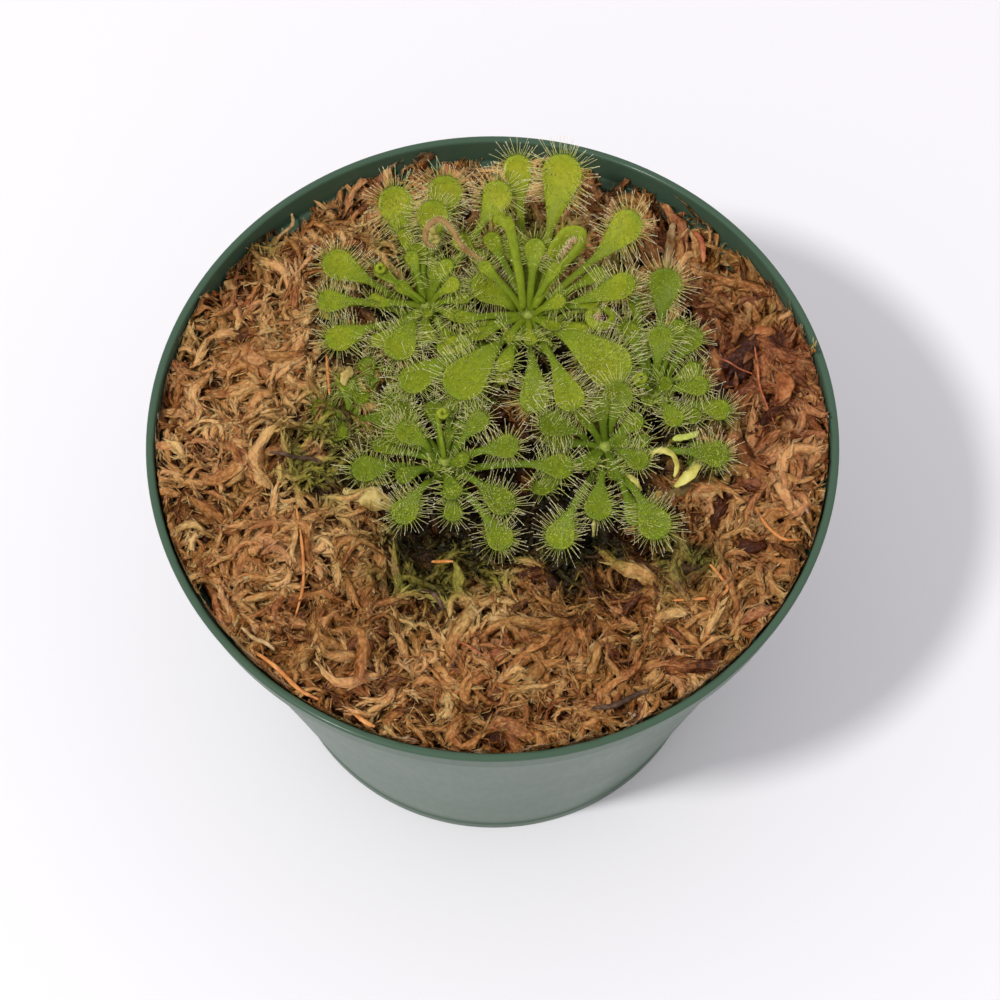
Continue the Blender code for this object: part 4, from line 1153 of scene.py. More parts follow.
# For each rosette: a leaf tip's x, y and height over the rim, its width, all in millimetres, and its fold.
YOUNG_LEAVES = (
    ("back", (
        (-8.2, 11.7, 3.5, 4.2, 0.05), (-3.3, 13.3, 5.0, 3.2, 0.3), (-5.6, 16.2, 6.0, 2.8, 0.4),
        (1.2, 7.5, 5.0, 3.2, 0.1), (8.4, 11.9, 3.0, 2.8, 0.3), (14.8, 14.2, 4.0, 3.4, 0.1),
        (11.2, 18.6, 7.0, 2.8, 0.4), (16.3, 19.1, 6.0, 3.0, 0.3), (1.9, 12.4, 6.0, 2.4, 0.6),
        (5.7, 12.0, 5.0, 2.6, 0.5), (-1.8, 24.1, 9.0, 2.4, 0.4), (10.3, 24.0, 9.0, 2.6, 0.4),
        (6.8, 27.4, 10.4, 3.6, 0.3), (2.5, 12.6, 4.4, 3.0, 0.5))),
    ("left", (
        (-4.8, 21.2, 8.0, 2.8, 0.4), (-3.3, 18.7, 7.0, 2.6, 0.3), (-14.5, 22.9, 5.0, 2.6, 0.6),
        (-6.0, 25.0, 8.0, 2.8, 0.3), (-13.9, 15.8, 3.0, 3.0, 0.2), (-10.1, 13.2, 3.0, 3.2, 0.1),
        (-4.1, 16.4, 5.0, 3.0, 0.2), (-18.8, 20.4, 4.0, 3.0, 0.6), (-12.4, 27.6, 6.4, 2.6, 0.6),
        (-8.2, 23.0, 5.6, 1.8, 0.9), (-9.4, 17.4, 4.2, 2.2, 0.7))),
    ("front_left", (
        (-16.0, -0.5, 2.5, 3.4, 0.1), (-18.0, -2.9, 2.0, 3.2, 0.2), (-14.1, 3.8, 2.5, 3.2, 0.1),
        (-9.0, 3.9, 3.0, 3.0, 0.2), (-6.0, 4.0, 3.5, 2.6, 0.3), (-3.4, -6.1, 3.0, 3.0, 0.2),
        (-5.6, -12.3, 2.5, 3.2, 0.2), (-9.3, -7.7, 3.0, 2.2, 0.6), (-14.5, -8.2, 1.5, 2.8, 0.2),
        (-6.4, -1.4, 4.2, 1.9, 0.9))),
    ("front_right", (
        (22.2, 0.7, 4.0, 3.6, 0.7), (20.4, -2.9, 3.0, 2.4, 0.4), (23.4, -2.7, 2.5, 2.4, 0.3),
        (13.7, -7.6, 2.5, 2.6, 0.3), (18.8, -8.8, 1.5, 3.0, 0.2), (7.8, -2.4, 2.0, 3.4, 0.1),
        (12.3, 1.1, 5.0, 2.8, 0.2), (16.0, 3.6, 5.0, 3.0, 0.2), (6.2, -10.8, 1.4, 3.4, 0.1),
        (21.6, -15.8, 0.8, 3.4, 0.1))),
    ("right", (
        (22.2, 6.6, 3.4, 2.0, 0.9), (26.9, 6.5, 4.0, 2.6, 0.5), (31.1, 1.1, 1.5, 3.0, 0.1),
        (22.7, 2.4, 4.0, 2.6, 0.4), (20.5, 15.9, 5.0, 3.0, 0.2), (17.7, 11.6, 4.0, 3.2, 0.2),
        (25.8, 2.9, 3.0, 2.6, 0.4), (28.4, 16.2, 5.0, 2.8, 0.2), (31.4, 9.4, 3.0, 3.0, 0.2))),
    ("front_left", ((-2.2, 4.2, 3.0, 3.0, 0.2), (-4.6, 0.6, 2.8, 2.6, 0.4))),
    ("back", ((-3.3, 15.0, 4.4, 3.0, 0.3), (10.2, 14.8, 4.6, 2.8, 0.3), (1.1, 6.1, 3.6, 3.0, 0.2))),
    ("left", (
        (-18.1, 13.0, 3.4, 2.8, 0.3), (-5.6, 12.8, 3.6, 2.8, 0.3), (-13.6, 31.3, 6.6, 2.8, 0.3),
        (-11.2, 29.5, 5.6, 3.0, 0.2), (-17.8, 26.0, 4.4, 2.6, 0.3), (-8.0, 27.0, 4.4, 2.6, 0.2))),
    ("back", (
        (-5.6, 29.4, 8.0, 3.0, 0.3), (-3.3, 27.6, 6.6, 2.8, 0.3), (-0.5, 30.0, 7.6, 3.0, 0.2),
        (2.6, 29.6, 6.4, 3.0, 0.3), (9.7, 27.4, 6.6, 3.0, 0.3), (13.9, 29.2, 6.6, 3.2, 0.2),
        (17.2, 24.7, 5.2, 3.0, 0.2))),
    ("right", ((21.4, 20.6, 4.6, 2.8, 0.3),)),
)
# Each seedling's middle and the width of its leaves, in millimetres, and how many leaves it has.
SEEDLINGS = (((-21.4, 3.4), 3.6, 6), ((-18.6, 8.6), 3.0, 6), ((31.6, -3.4), 2.0, 5), ((-3.0, 9.6), 2.8, 6))


def grown_midline(root, tip, leave, arrive):
    """A Hermite arc from root to tip that sets out and arrives at the two given slopes."""
    run = tip - root
    level = unit(run * (1, 1, 0))
    along = np.linspace(0.0, 1.0, 60)[:, None]
    out = (level * math.cos(leave) + UP * math.sin(leave)) * np.linalg.norm(run)
    end = (level * math.cos(arrive) + UP * math.sin(arrive)) * np.linalg.norm(run)
    arc = (2 * along**3 - 3 * along**2 + 1) * root + (along**3 - 2 * along**2 + along) * out
    return arc + (3 * along**2 - 2 * along**3) * tip + (along**3 - along**2) * end, np.cross(UP, level)


def over_rim(stops):
    """Places in metres, from millimetres with the height over the rim."""
    return np.array(stops, dtype=float) * MM + UP * RIM_HEIGHT


YOUNG_SIDES = LEAF_SIDES // 2
YOUNG_ROWS = (LEAF_ROWS - 1) // 2
YOUNG_ROOT = 0.7 * MM
YOUNG_WAVE = 0.03 * MM
YOUNG_GAP = 0.38 * MM
YOUNG_STUDS = 7
young_leaves, young_points, young_leaf_tints_and_shade = [], [], []


def grow_young_leaf(root, tip, width, fold, arrive, warmth_and_shade):
    """One small leaf, with every other row and side of a large one's: its blade is folded up by the
    given share."""
    rise = math.atan2(tip[2] - root[2], np.hypot(*(tip - root)[:2]))
    midline, across = grown_midline(root, tip, min(rise + 0.45, 1.4), arrive)
    half = max(0.5 * width * MM * (1 - 0.3 * fold), STALK_HALF + 0.15 * MM)
    rings, leaf = leaf_surface(midline, across, half, 0.12 + fold, rng.normal(0, 0.3), YOUNG_WAVE)
    young_leaves.append(leaf)
    young_points.append(capped(rings[0].mean(axis=0), rings[1:-1:2, ::2], rings[-1].mean(axis=0)))
    # Each young leaf's tint: its rosette's warmth of green and painted shade, varied at random.
    young_leaf_tints_and_shade.append(warmth_and_shade + rng.uniform(-0.45, 0.25))


for name, leaves in YOUNG_LEAVES:
    for *tip, width, fold in leaves:
        outward = over_rim(tip) - CROWNS[name]
        root = CROWNS[name] + YOUNG_ROOT * (unit(outward * (1, 1, 0)) - UP)
        grow_young_leaf(root, over_rim(tip), width, fold, 0.1 + 0.9 * fold, LOOKS[name][1])
for middle, width, count in SEEDLINGS:
    middle = np.array(middle) * MM
    ground = read_map(height_map, *middle)
    for number in range(count):
        turn = 2 * math.pi * number / count + rng.normal(0, 0.25)
        level = np.array((math.cos(turn), math.sin(turn)))
        root = np.append(middle + 0.3 * MM * level, ground + 0.2 * MM)
        reach = rng.uniform(1.9, 2.9) * width * 0.7 * MM
        tip = np.append(middle + level * reach, ground + rng.uniform(0.9, 2.2) * MM)
        # Seedlings get a tint of -0.4, the deep green of painted shade.
        grow_young_leaf(root, tip, rng.uniform(0.75, 1.0) * width, rng.uniform(0.0, 0.3),
                        rng.uniform(-0.3, 0.3), -0.4)
young_piece = build_tubes("young_leaves", np.array(young_points), YOUNG_SIDES)
reach = np.concatenate([ringed(0.0, leaf["blade"][1:-1:2], 1.0, YOUNG_SIDES) for leaf in young_leaves])
edge = reach * np.tile(edgewards(YOUNG_ROWS, YOUNG_SIDES), len(young_leaves))
paint_leaf(young_piece, reach, np.repeat(young_leaf_tints_and_shade, len(young_points[0])), 0.8 * reach, edge)
grown = [group for leaf in young_leaves for group in leaf_tentacles(leaf, YOUNG_STUDS, rng, YOUNG_GAP)]
finished(young_piece, leaf_skin, "leaf_skin")
finished(build_tentacles("tentacles_young", grown, bent=False), tentacle_skin, "leaf_skin")


# Unrolling leaves.
# Three leaves of the back rosette that are still coming out of bud: a long folded finger, a cane
# bent over at its top with rosy tentacles inside the bend, and one coiled in a pale ring.

FOLD_STOPS = 44
FOLD_SIDES = 16
FOLD_LEAN = np.array((0.5, -0.6, 0.62))
# For each: its route, half widths along it in millimetres, how thick it is for its width, how many
# tentacles it has, and how studded and how pale-edged it is.
UNROLLING = {
    "leaf_unrolling_tall": (
        ((4.8, 19.0, 3.0), (4.2, 22.6, 7.6), (3.0, 27.4, 11.6), (2.3, 29.0, 12.3), (1.5, 30.1, 11.4),
         (1.4, 29.4, 10.2)), (0.6, 0.75, 1.25, 1.3, 1.0), 0.8, 30, 0.3, 0.5),
    "leaf_unrolling_pink": (
        ((6.2, 18.8, 3.4), (9.6, 22.6, 7.6), (13.0, 25.6, 10.6), (13.4, 27.2, 12.0), (11.4, 27.4, 11.8),
         (9.6, 25.8, 10.2), (8.8, 24.6, 8.8)), (0.6, 0.75, 1.1, 1.05, 0.8), 0.75, 110, 0.3, 0.5),
    "leaf_unrolling_coiled": (
        ((8.0, 18.2, -1.0), (12.0, 18.8, 2.6), (15.0, 18.9, 3.7), (17.2, 18.4, 4.2), (18.3, 17.0, 4.6),
         (17.4, 15.5, 4.8), (15.6, 15.3, 5.0), (14.7, 16.6, 5.1), (15.5, 17.6, 5.2), (16.6, 17.2, 5.2)),
        (0.5, 0.6, 0.8, 0.8, 0.6), 0.9, 40, 0.9, 1.0),
}


def smooth_route(stops, count):
    """A Catmull-Rom curve through stops given in millimetres, with heights over the rim."""
    stops = over_rim(stops)
    padded = np.vstack((2 * stops[0] - stops[1], stops, 2 * stops[-1] - stops[-2]))
    places = np.linspace(0.0, len(stops) - 1.000001, count)
    spans = places.astype(int)
    part = (places - spans)[:, None]
    before, first, second, after = (padded[spans + step] for step in range(4))
    return 0.5 * (2 * first + (second - before) * part
                  + (2 * before - 5 * first + 4 * second - after) * part**2
                  + (3 * first - before - 3 * second + after) * part**3)


def square_to(ways, along):
    """The ways, each with what it has of the line along taken out."""
    return ways - along * (ways * along).sum(axis=1)[:, None]


share = np.linspace(0.0, 1.0, FOLD_STOPS)
blade = np.repeat(np.clip((share[1:-1] - 0.3) / 0.3, 0, 1), FOLD_SIDES)
groove = np.tile(0.28 * np.exp(-((np.sin(round_turn(FOLD_SIDES)) - 1) / 0.25) ** 2), FOLD_STOPS - 2)
for name, (stops, widths, flatness, count, glands, edge) in UNROLLING.items():
    route = smooth_route(stops, FOLD_STOPS)
    half = np.interp(share, (0.0, 0.35, 0.7, 0.85, 1.0), widths) * MM
    half = half * np.sqrt(np.clip((1 - share) / 0.06, 0, 1))
    half = half[None, 1:-1] * (1 + 0.04 * np.sin(40 * share[1:-1]))
    tube = swept_tubes(route[None], half, flatness * half, FOLD_SIDES, FOLD_LEAN)[0]
    middle = np.repeat(route[1:-1], FOLD_SIDES, axis=0)
    tube[1:-1] -= (tube[1:-1] - middle) * (groove * blade)[:, None] * 1.6
    piece = build_tubes("folded_" + name, tube, FOLD_SIDES)
    paint_leaf(piece, np.concatenate(([0.0], 0.25 + 0.55 * blade, [0.9])), 0.6, glands, edge)
    at = rng.integers(int(0.5 * FOLD_STOPS), FOLD_STOPS - 2, count)
    along = unit(np.gradient(route, axis=0))[at]
    lift = np.cross(along, unit(np.cross(FOLD_LEAN, along)))
    inward = unit(square_to(route[-1] - route[at], along))
    way = unit(inward + 0.7 * lift + rng.normal(0, 0.35, (count, 3)))
    feet = route[at] + way * half[0, at - 1][:, None] * 0.7
    paths = tentacle_paths(feet, way, along, rng.uniform(0.7, 1.5, count) * MM, rng.uniform(-0.2, 0.3, count))
    curled = paths, rng.uniform(0.7, 1.0, count), rng.uniform(-0.3, 0.1, count)
    finished(piece, leaf_skin, "leaf_skin", name)
    finished(build_tentacles("tentacles_" + name, [curled], blush=1.7), tentacle_skin, "leaf_skin")


# Coiled leaf tips.
# The youngest leaves of the other rosettes, which are still wound up like watch springs at the end
# of a bare stalk.

# For each: its rosette, and the middle and the radius of its coil, in millimetres.
COILED_TIPS = (("left", (-17.0, 25.3, 4.4), 0.8), ("front_left", (-7.4, 0.3, 5.2), 0.85),
               ("right", (22.1, 5.8, 5.4), 0.9))
COIL_STALK = 14
COIL_SIDES = 8
COIL_TURNS = np.linspace(0.0, 3.4 * math.pi, 44)[:, None]
coil_routes = []
for name, middle, radius in COILED_TIPS:
    crown = CROWNS[name]
    middle = over_rim(middle)
    outward = unit((middle - crown) * (1, 1, 0))
    standing = unit(np.cross(outward, UP) + 0.3 * UP)
    reach = radius * MM * (1 - 0.62 * COIL_TURNS / COIL_TURNS[-1])
    coil = middle + reach * (np.sin(COIL_TURNS) * outward - np.cos(COIL_TURNS) * standing)
    coil += 0.12 * MM * COIL_TURNS * UP
    stalk = grown_midline(crown, coil[0], 1.0, 0.1)[0]
    coil_routes.append(np.vstack((stalk[np.linspace(0, len(stalk) - 4, COIL_STALK).astype(int)], coil)))
share = np.linspace(0.0, 1.0, COIL_STALK + len(COIL_TURNS))
half = np.interp(share[1:-1], (0.0, 0.3, 0.6, 0.95, 1.0), (0.4, 0.32, 0.36, 0.28, 0.1)) * MM
half = np.tile(half, (len(COILED_TIPS), 1))
coil_points = swept_tubes(np.array(coil_routes), half, 0.8 * half, COIL_SIDES, UP)
coil_piece = build_tubes("coiled_leaf_tips", coil_points, COIL_SIDES)

# Reach, tint, glands and edge: first on the stalk, then in the coil.
coil_paint = []
for low, high in ((0.3, 0.9), (0.2, 0.6), (0.1, 0.7), (0.2, 1.0)):
    shares = np.interp(share[1:-1], (0.2, 0.4), (low, high))
    coil_paint.append(np.tile(ringed(low, shares, high, COIL_SIDES), len(COILED_TIPS)))
paint_leaf(coil_piece, *coil_paint)
finished(coil_piece, leaf_skin, "leaf_skin")


# Flower scape.
# The young flower stalk beside the back crown, pinkish brown and finely hairy, which comes up in a
# curl like a crozier with its row of small closed buds on the inside.

SCAPE_ROUTE = (
    (3.6, 20.9, -0.6), (2.9, 22.2, 1.6), (1.2, 24.2, 4.4), (-1.6, 25.6, 6.8), (-4.4, 26.6, 9.2),
    (-6.0, 28.2, 11.8), (-7.8, 29.3, 12.8), (-9.5, 28.8, 11.7), (-10.0, 27.7, 9.7), (-9.0, 27.3, 8.5),
    (-7.9, 27.9, 9.2),
)
SCAPE_STOPS = 90
SCAPE_SIDES = 12
BUDS = 9
BUD_SIDES = 8
BUD_STOPS = np.array((0.0, 0.06, 0.25, 0.5, 0.75, 0.93, 1.0))[:, None]
FUZZ = 420
route = smooth_route(SCAPE_ROUTE, SCAPE_STOPS)
along = unit(np.gradient(route, axis=0))
share = np.linspace(0.0, 1.0, SCAPE_STOPS)[None, 1:-1]
half = np.interp(share, (0.0, 0.5, 0.8, 0.97, 1.0), (0.52, 0.46, 0.5, 0.42, 0.2)) * MM
scape_piece = build_tubes(
    "hairy_scape", swept_tubes(route[None], half, half, SCAPE_SIDES, np.array((0.3, -0.5, 0.8))), SCAPE_SIDES)
at = np.linspace(58, SCAPE_STOPS - 3, BUDS).astype(int)
inward = unit(square_to(route[60:].mean(axis=0) - route[at], along[at]))
way = unit(inward + 0.35 * along[at] + rng.normal(0, 0.1, (BUDS, 3)))
length = rng.uniform(1.2, 1.7, BUDS)[:, None] * MM
paths = (route[at] + 0.25 * MM * way)[:, None] + BUD_STOPS * length[:, None] * way[:, None]
half = np.array((0.25, 0.85, 1.0, 0.7, 0.3)) * 0.36 * length
bud_piece = build_tubes(
    "flower_buds", swept_tubes(paths, half, half, BUD_SIDES, np.array((0.2, 0.3, 0.9))), BUD_SIDES)
at = rng.integers(8, SCAPE_STOPS - 2, FUZZ)
way = unit(square_to(rng.normal(0, 1, (FUZZ, 3)), along[at]))
fuzz_feet = np.concatenate((*scale_feet, route[at] + way * 0.4 * MM))
length = rng.uniform(0.3, 0.8, len(fuzz_feet)) * MM
length[:-FUZZ] *= 2.2
fuzz_piece = build_hairs("crown_scales_and_fuzz", fuzz_feet, np.concatenate((*scale_ways, way)), length,
                         (0.045 * MM, 0.025 * MM), 0.6, 0.3)

scape_skin = new_material("scape_skin", {"Specular IOR Level": 0.2, "Roughness": 0.55})
tree = scape_skin.node_tree
patches, normal = fine_grain(tree, object_place(tree), 700.0, 3.0, 0.4, 0.12 * MM)
feed(tree, {
    "Base Color": color_ramp(tree, patches, (0.3, (0.24, 0.125, 0.040)), (0.55, (0.37, 0.225, 0.080)),
                             (0.75, (0.38, 0.32, 0.10))),
    "Normal": normal})
bud_skin = new_material("bud_skin", {"Specular IOR Level": 0.2, "Roughness": 0.5})
tree = bud_skin.node_tree
patches = noise(tree, object_place(tree), 900.0, 2.0)
feed(tree, {"Base Color": color_ramp(tree, patches, (0.35, (0.22, 0.22, 0.04)), (0.65, (0.42, 0.34, 0.09)))})
finished(scape_piece, scape_skin, "scape_skin", "flower_scape")
finished(bud_piece, bud_skin, "scape_skin")
finished(fuzz_piece, tentacle_skin, "scape_skin")


# Dead leaves, needles and chips.
# What has fallen on the moss or come with it: withered sundew leaves, curled and cream or brown,
# orange conifer needles, dark twigs, straw, chips of bark and one white grain of perlite.

BIT_STOPS = 30
BIT_SIDES = 9
WITHERED_SIDES = 14
LITTER_LIFT = 0.6 * MM
SUNK = -0.5 * MM
GROUND_BLUR = 9
# For each: stops of x, y and height over the moss, half width (all in millimetres), cupping, colour.
WITHERED = {
    "dead_leaf_cream": (((-22.1, -8.9, 0.6), (-20.8, -10.1, 1.2), (-19.2, -10.6, 1.5), (-17.5, -11.3, 1.4),
        (-15.9, -11.5, 1.4), (-14.6, -11.6, 0.9)), 1.7, 0.5, "cream"),
    "dead_leaf_yellow": (((26.8, -9.8, 2.4), (27.9, -9.1, 3.0), (29.2, -7.9, 3.2), (30.4, -5.8, 3.0),
        (31.1, -4.5, 2.4)), 1.05, 0.3, "yellow"),
    "dead_leaf_brown": (((34.4, -9.9, 0.8), (36.5, -8.8, 1.6), (38.5, -8.3, 1.6), (40.5, -6.1, 0.8)),
        1.6, 0.3, "leather"),
    "withered_arc": (((23.4, -5.4, 3.2), (24.0, -4.4, 4.4), (25.3, -4.2, 4.8), (26.6, -4.7, 4.6),
        (27.3, -5.9, 4.0), (27.4, -7.2, 3.2), (26.9, -8.3, 2.0)), 0.62, 0.3, "yellow"),
    "withered_strip": (((26.8, -2.3, 3.6), (28.3, -1.8, 4.2), (29.8, -1.3, 4.2), (30.9, -0.5, 3.2)),
        0.7, 0.2, "lime"),
    "withered_curl": (((19.8, -7.0, 2.8), (20.7, -8.2, 3.4), (21.4, -9.2, 3.4), (22.0, -10.1, 2.4)),
        0.75, 0.4, "yellow"),
    "withered_tip": (((15.0, -13.5, 1.0), (15.1, -14.9, 1.1), (15.0, -15.8, 0.7)), 0.45, 0.4, "yellow"),
    "withered_chip_left": (((-21.7, 11.3, 1.2), (-22.0, 9.2, 1.6), (-22.4, 7.8, 1.2)), 0.95, 0.5, "cream"),
    "withered_chip_rim": (((-41.6, 27.8, 0.6), (-40.4, 27.0, 1.0), (-39.4, 26.2, 0.6)), 1.0, 0.5, "tan"),
    "withered_chip_front": (((-1.0, -29.6, 0.4), (0.4, -30.2, 0.8), (2.0, -30.4, 0.5)), 1.0, 0.4, "tan"),
    "old_leaf_purple": (((34.3, 15.7, 1.2), (36.0, 13.4, 2.2), (37.9, 11.9, 2.4), (39.5, 10.2, 1.6)),
        2.3, 0.35, "leather"),
    "old_leaf_red": (((38.8, 18.6, 1.2), (40.6, 18.9, 2.2), (42.6, 17.6, 2.6), (44.0, 16.3, 1.8)),
        1.7, 0.5, "rust"),
    "old_leaf_orange": (((41.5, 13.9, 1.6), (42.8, 11.2, 2.4), (43.6, 7.6, 2.4), (43.7, 4.8, 1.4)),
        1.8, 0.6, "rust"),
    "old_leaf_back": (((38.1, 22.9, 1.2), (39.8, 23.4, 2.0), (42.1, 25.2, 1.8)), 1.5, 0.4, "leather"),
    "old_leaf_dark": (((32.2, 23.4, 0.8), (32.8, 20.6, 1.4), (33.8, 18.5, 1.0)), 1.7, 0.3, "leather"),
    "old_leaf_straw": (((35.0, 31.3, 1.0), (35.2, 27.7, 1.6), (34.6, 25.0, 1.2)), 1.1, 0.4, "tan"),
    "old_leaf_boat": (((24.8, -11.6, 0.8), (27.2, -10.2, 1.6), (29.6, -8.5, 1.8), (31.6, -5.8, 1.2)),
        1.2, 0.6, "olive"),
    "old_leaf_plume": (((30.3, -11.3, 0.8), (31.3, -10.1, 1.6), (32.7, -7.5, 1.6)), 1.6, 0.4, "tan"),
}
# For each: stops, half width and colour.
THIN = {
    "needle_left": (((-29.1, -12.6, 0.8), (-28.2, -18.0, 1.2), (-27.8, -21.5, 1.0), (-27.9, -25.8, 0.9),
        (-29.5, -31.6, 0.6)), 0.25, "orange"),
    "needle_front": (((31.6, -22.1, 0.9), (32.9, -24.0, 1.2), (34.1, -26.1, 1.2), (32.4, -27.5, 1.1),
        (29.2, -27.8, 1.0), (25.9, -28.1, 0.7)), 0.27, "orange"),
    "needle_right": (((38.4, -11.8, 0.8), (39.8, -14.4, 1.3), (41.5, -16.4, 1.2), (43.2, -17.8, 0.9),
        (45.9, -17.2, 0.7)), 0.28, "orange"),
    "needle_rim": (((-35.4, -34.8, 0.8), (-31.6, -38.0, 1.3), (-28.2, -41.0, 1.3), (-25.0, -42.8, 1.0)),
        0.33, "orange"),
    "needle_tip": (((-20.0, -45.2, 1.2), (-18.6, -46.4, 1.4), (-17.0, -47.0, 1.2)), 0.34, "orange"),
    "needle_shade": (((-25.2, 13.4, 1.0), (-24.9, 10.0, 1.4), (-24.6, 6.4, 0.9)), 0.26, "orange"),
    "chip_hollow": (((-9.2, -19.6, 1.0), (-7.6, -20.1, 1.3), (-5.8, -20.4, 1.0)), 0.28, "orange"),
    "rootlet_long": (((34.2, 12.9, 2.6), (36.7, 11.7, 3.2), (39.5, 9.6, 2.8)), 0.15, "red"),
    "rootlet_upright": (((39.9, 14.1, 3.0), (40.2, 10.5, 3.0), (40.4, 7.2, 2.4), (42.4, 1.4, 1.6)),
        0.18, "red"),
    "rootlet_front": (((-6.2, -32.2, 1.2), (-4.2, -34.8, 1.7), (-1.2, -36.6, 1.3)), 0.12, "red"),
    "rootlet_left": (((-38.8, -4.0, 1.2), (-36.2, -6.6, 1.6), (-35.4, -10.0, 1.1)), 0.12, "red"),
    "twig_left": (((-33.4, -3.6, 1.1), (-30.4, -4.6, 1.5), (-27.6, -4.8, 1.5), (-25.4, -5.6, 1.0)),
        0.36, "dark"),
    "twig_front": (((-11.0, -24.6, 0.9), (-8.8, -25.8, 1.3), (-7.2, -28.6, 1.0)), 0.4, "dark"),
    "twig_rim": (((14.0, -44.6, 1.2), (18.0, -43.6, 1.5), (22.4, -41.8, 1.3)), 0.45, "dark"),
    "straw_back": (((28.5, 37.6, 1.6), (27.8, 34.2, 2.0), (27.0, 30.2, 1.4)), 0.62, "straw"),
    "straw_rim": (((31.6, 36.6, 1.2), (32.8, 33.6, 1.5), (33.0, 30.8, 1.0)), 0.5, "red"),
    "straw_left": (((-36.6, -31.6, 1.0), (-34.2, -33.6, 1.5), (-31.6, -35.4, 0.9)), 0.34, "straw"),
    "straw_corner": (((-33.6, 34.8, 1.2), (-31.2, 37.6, 2.4), (-31.4, 40.2, 3.4)), 0.3, "straw"),
}
# For each colour: the material's name, its colour stops, its roughness and its specular level.
DRY_COLOURS = {
    "cream": ("withered_cream", ((0.32, (0.24, 0.15, 0.035)), (0.48, (0.46, 0.33, 0.095)),
        (0.66, (0.66, 0.53, 0.20))), 0.6, 0.2),
    "yellow": ("withered_yellow", ((0.32, (0.32, 0.27, 0.04)), (0.48, (0.52, 0.47, 0.09)),
        (0.66, (0.68, 0.61, 0.18))), 0.5, 0.3),
    "lime": ("withered_lime", ((0.32, (0.26, 0.34, 0.03)), (0.48, (0.42, 0.50, 0.07)),
        (0.66, (0.56, 0.60, 0.14))), 0.5, 0.2),
    "leather": ("old_leather", ((0.34, (0.030, 0.008, 0.003)), (0.48, (0.125, 0.036, 0.015)),
        (0.64, (0.30, 0.115, 0.050))), 0.6, 0.12),
    "rust": ("old_rust", ((0.34, (0.10, 0.022, 0.006)), (0.48, (0.31, 0.095, 0.028)),
        (0.64, (0.52, 0.23, 0.085))), 0.6, 0.12),
    "tan": ("old_tan", ((0.32, (0.17, 0.080, 0.025)), (0.48, (0.36, 0.20, 0.070)),
        (0.66, (0.54, 0.36, 0.15))), 0.6, 0.2),
    "olive": ("old_olive", ((0.32, (0.060, 0.035, 0.010)), (0.48, (0.17, 0.11, 0.030)),
        (0.66, (0.30, 0.21, 0.07))), 0.55, 0.2),
    "orange": ("needle_orange", ((0.30, (0.22, 0.06, 0.012)), (0.46, (0.52, 0.18, 0.035)),
        (0.66, (0.74, 0.34, 0.10))), 0.4, 0.4),
    "red": ("rootlet_red", ((0.32, (0.16, 0.03, 0.012)), (0.50, (0.36, 0.09, 0.03)),
        (0.66, (0.55, 0.20, 0.08))), 0.5, 0.3),
    "dark": ("twig_dark", ((0.32, (0.020, 0.009, 0.005)), (0.50, (0.065, 0.034, 0.018)),
        (0.68, (0.18, 0.11, 0.07))), 0.65, 0.2),
    "straw": ("straw_pale", ((0.32, (0.26, 0.14, 0.05)), (0.48, (0.46, 0.29, 0.12)),
        (0.66, (0.62, 0.46, 0.24))), 0.5, 0.3),
    "white": ("perlite_white", ((0.3, (0.55, 0.52, 0.48)), (0.5, (0.80, 0.78, 0.74)),
        (0.7, (0.92, 0.91, 0.88))), 0.8, 0.3),
}


def dry_material(name, stops, roughness, specular):
    """Dry plant matter: a colour ramp over broad noise and fine grit, and the grit as a bump."""
    material = new_material(name, {"Specular IOR Level": specular, "Roughness": roughness})
    tree = material.node_tree
    place = object_place(tree)
    grit, normal = fine_grain(tree, place, 1100.0, 4.0, 0.6, 0.2 * MM)
    both = worked_out(tree, "ADD", grit, noise(tree, place, 330.0, 2.0))
    feed(tree, {
        "Base Color": color_ramp(tree, worked_out(tree, "MULTIPLY", both, 0.5), *stops),
        "Normal": normal})
    return material


def laid_route(stops, lift):
    """A smooth line through stops of x, y and height over the moss, whose height is evened out."""
    route = smooth_route(stops, BIT_STOPS)
    height = route[:, 2] - RIM_HEIGHT + lift
    ground = np.pad(read_map(height_map, route[:, 0], route[:, 1]), GROUND_BLUR // 2, mode="edge")
    ground = np.convolve(ground, np.ones(GROUND_BLUR) / GROUND_BLUR, mode="valid")
    return np.column_stack((route[:, :2], ground + height))


def finish_dry(name, piece, colour, slot):
    """Gives a dry piece its finish; where the frame has a node of its name, it stands for that."""
    finished(piece, dry[colour], slot, *([name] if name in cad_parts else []))


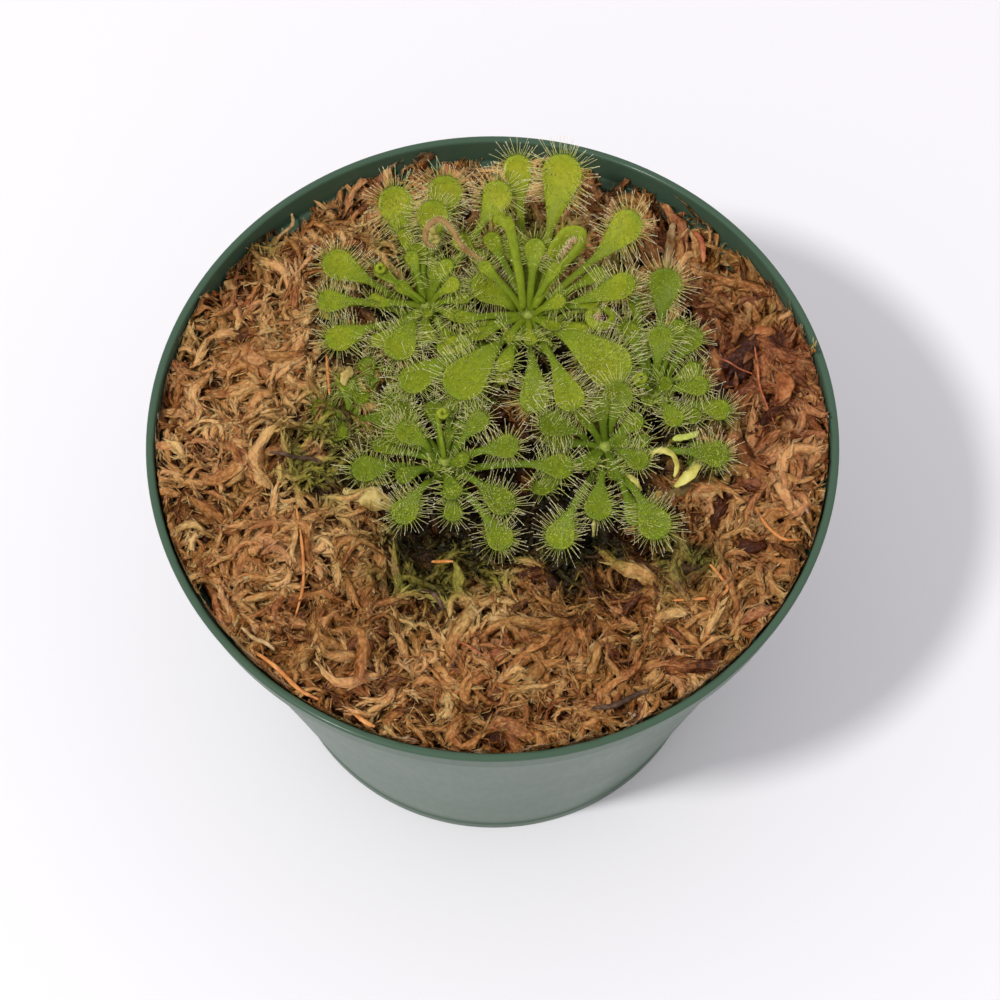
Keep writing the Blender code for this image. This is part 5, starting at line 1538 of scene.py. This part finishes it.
dry = {colour: dry_material(*values) for colour, values in DRY_COLOURS.items()}
share = np.linspace(0.0, 1.0, BIT_STOPS)
for name, (stops, half, cupping, colour) in WITHERED.items():
    route = laid_route(stops, SUNK if name.startswith("old") or "brown" in name else LITTER_LIFT)
    crumple = 1 + 0.13 * np.sin(9 * share + len(name)) + 0.05 * np.sin(31 * share)
    swell = half * MM * np.sin(math.pi * np.clip(share, 0.03, 0.95)) ** 0.5 * crumple
    swell = swell[None, 1:-1]
    twist = 0.9 * np.sin(3.2 * share + len(name))
    up = np.column_stack((np.sin(twist), 0.4 * np.cos(2 * twist), 1.0 + 0 * twist))[None]
    tube = swept_tubes(route[None], swell, 0.13 * swell + 0.07 * MM, WITHERED_SIDES, up, cupping)[0]
    across = np.tile(np.cos(round_turn(WITHERED_SIDES)), BIT_STOPS - 2)
    folds = np.sin(5 * across + 9 * np.repeat(share[1:-1], WITHERED_SIDES) + len(name))
    tube[1:-1] += (0.10 * np.repeat(swell[0], WITHERED_SIDES) * folds)[:, None] * UP
    tube[1:-1] += rng.normal(0, 0.018 * MM, (len(tube) - 2, 3))
    piece = build_tubes("withered_" + name.removeprefix("withered_"), kept_inside(tube), WITHERED_SIDES)
    fresh = colour in ("cream", "yellow", "lime")
    finish_dry(name, piece, colour, "dead_leaf_skin" if fresh else "dead_leaf_brown_skin")
for name, (stops, half, colour) in THIN.items():
    swell = half * MM * (0.35 + 0.65 * np.sin(math.pi * np.clip(share, 0.06, 0.94)) ** 0.5)
    swell = (swell * (1 + 0.1 * np.sin(29 * share + len(name))))[None, 1:-1]
    tube = swept_tubes(laid_route(stops, LITTER_LIFT)[None], swell, 0.75 * swell, BIT_SIDES, UP)
    finish_dry(name, build_tubes("bit_" + name, tube, BIT_SIDES), colour, "needle_bark")

# The perlite grain: a dented ball, pressed a little flat.
GRAIN_SIDES = 20
GRAIN_PLACE = (8.0 * MM, -38.3 * MM)
rise = np.linspace(-1, 1, 14)[1:-1, None]
ball = level_rings(np.sqrt(1 - rise**2), rise, GRAIN_SIDES)
dents = 0.8 + 0.13 * np.sin(4.1 * ball[..., 0] + 2.7 * ball[..., 1] + 1) + 0.1 * np.sin(
    7 * ball[..., 1] - 5 * ball[..., 2])
grain = capped((0, 0, -0.8), ball * dents[..., None], (0, 0, 0.8)) * (0.5 * MM, 0.7 * MM, 0.45 * MM)
grain += (*GRAIN_PLACE, read_map(height_map, *np.array(GRAIN_PLACE)) + 0.8 * MM)
finished(build_tubes("perlite_grain", grain, GRAIN_SIDES), dry["white"], "dead_leaf_skin")
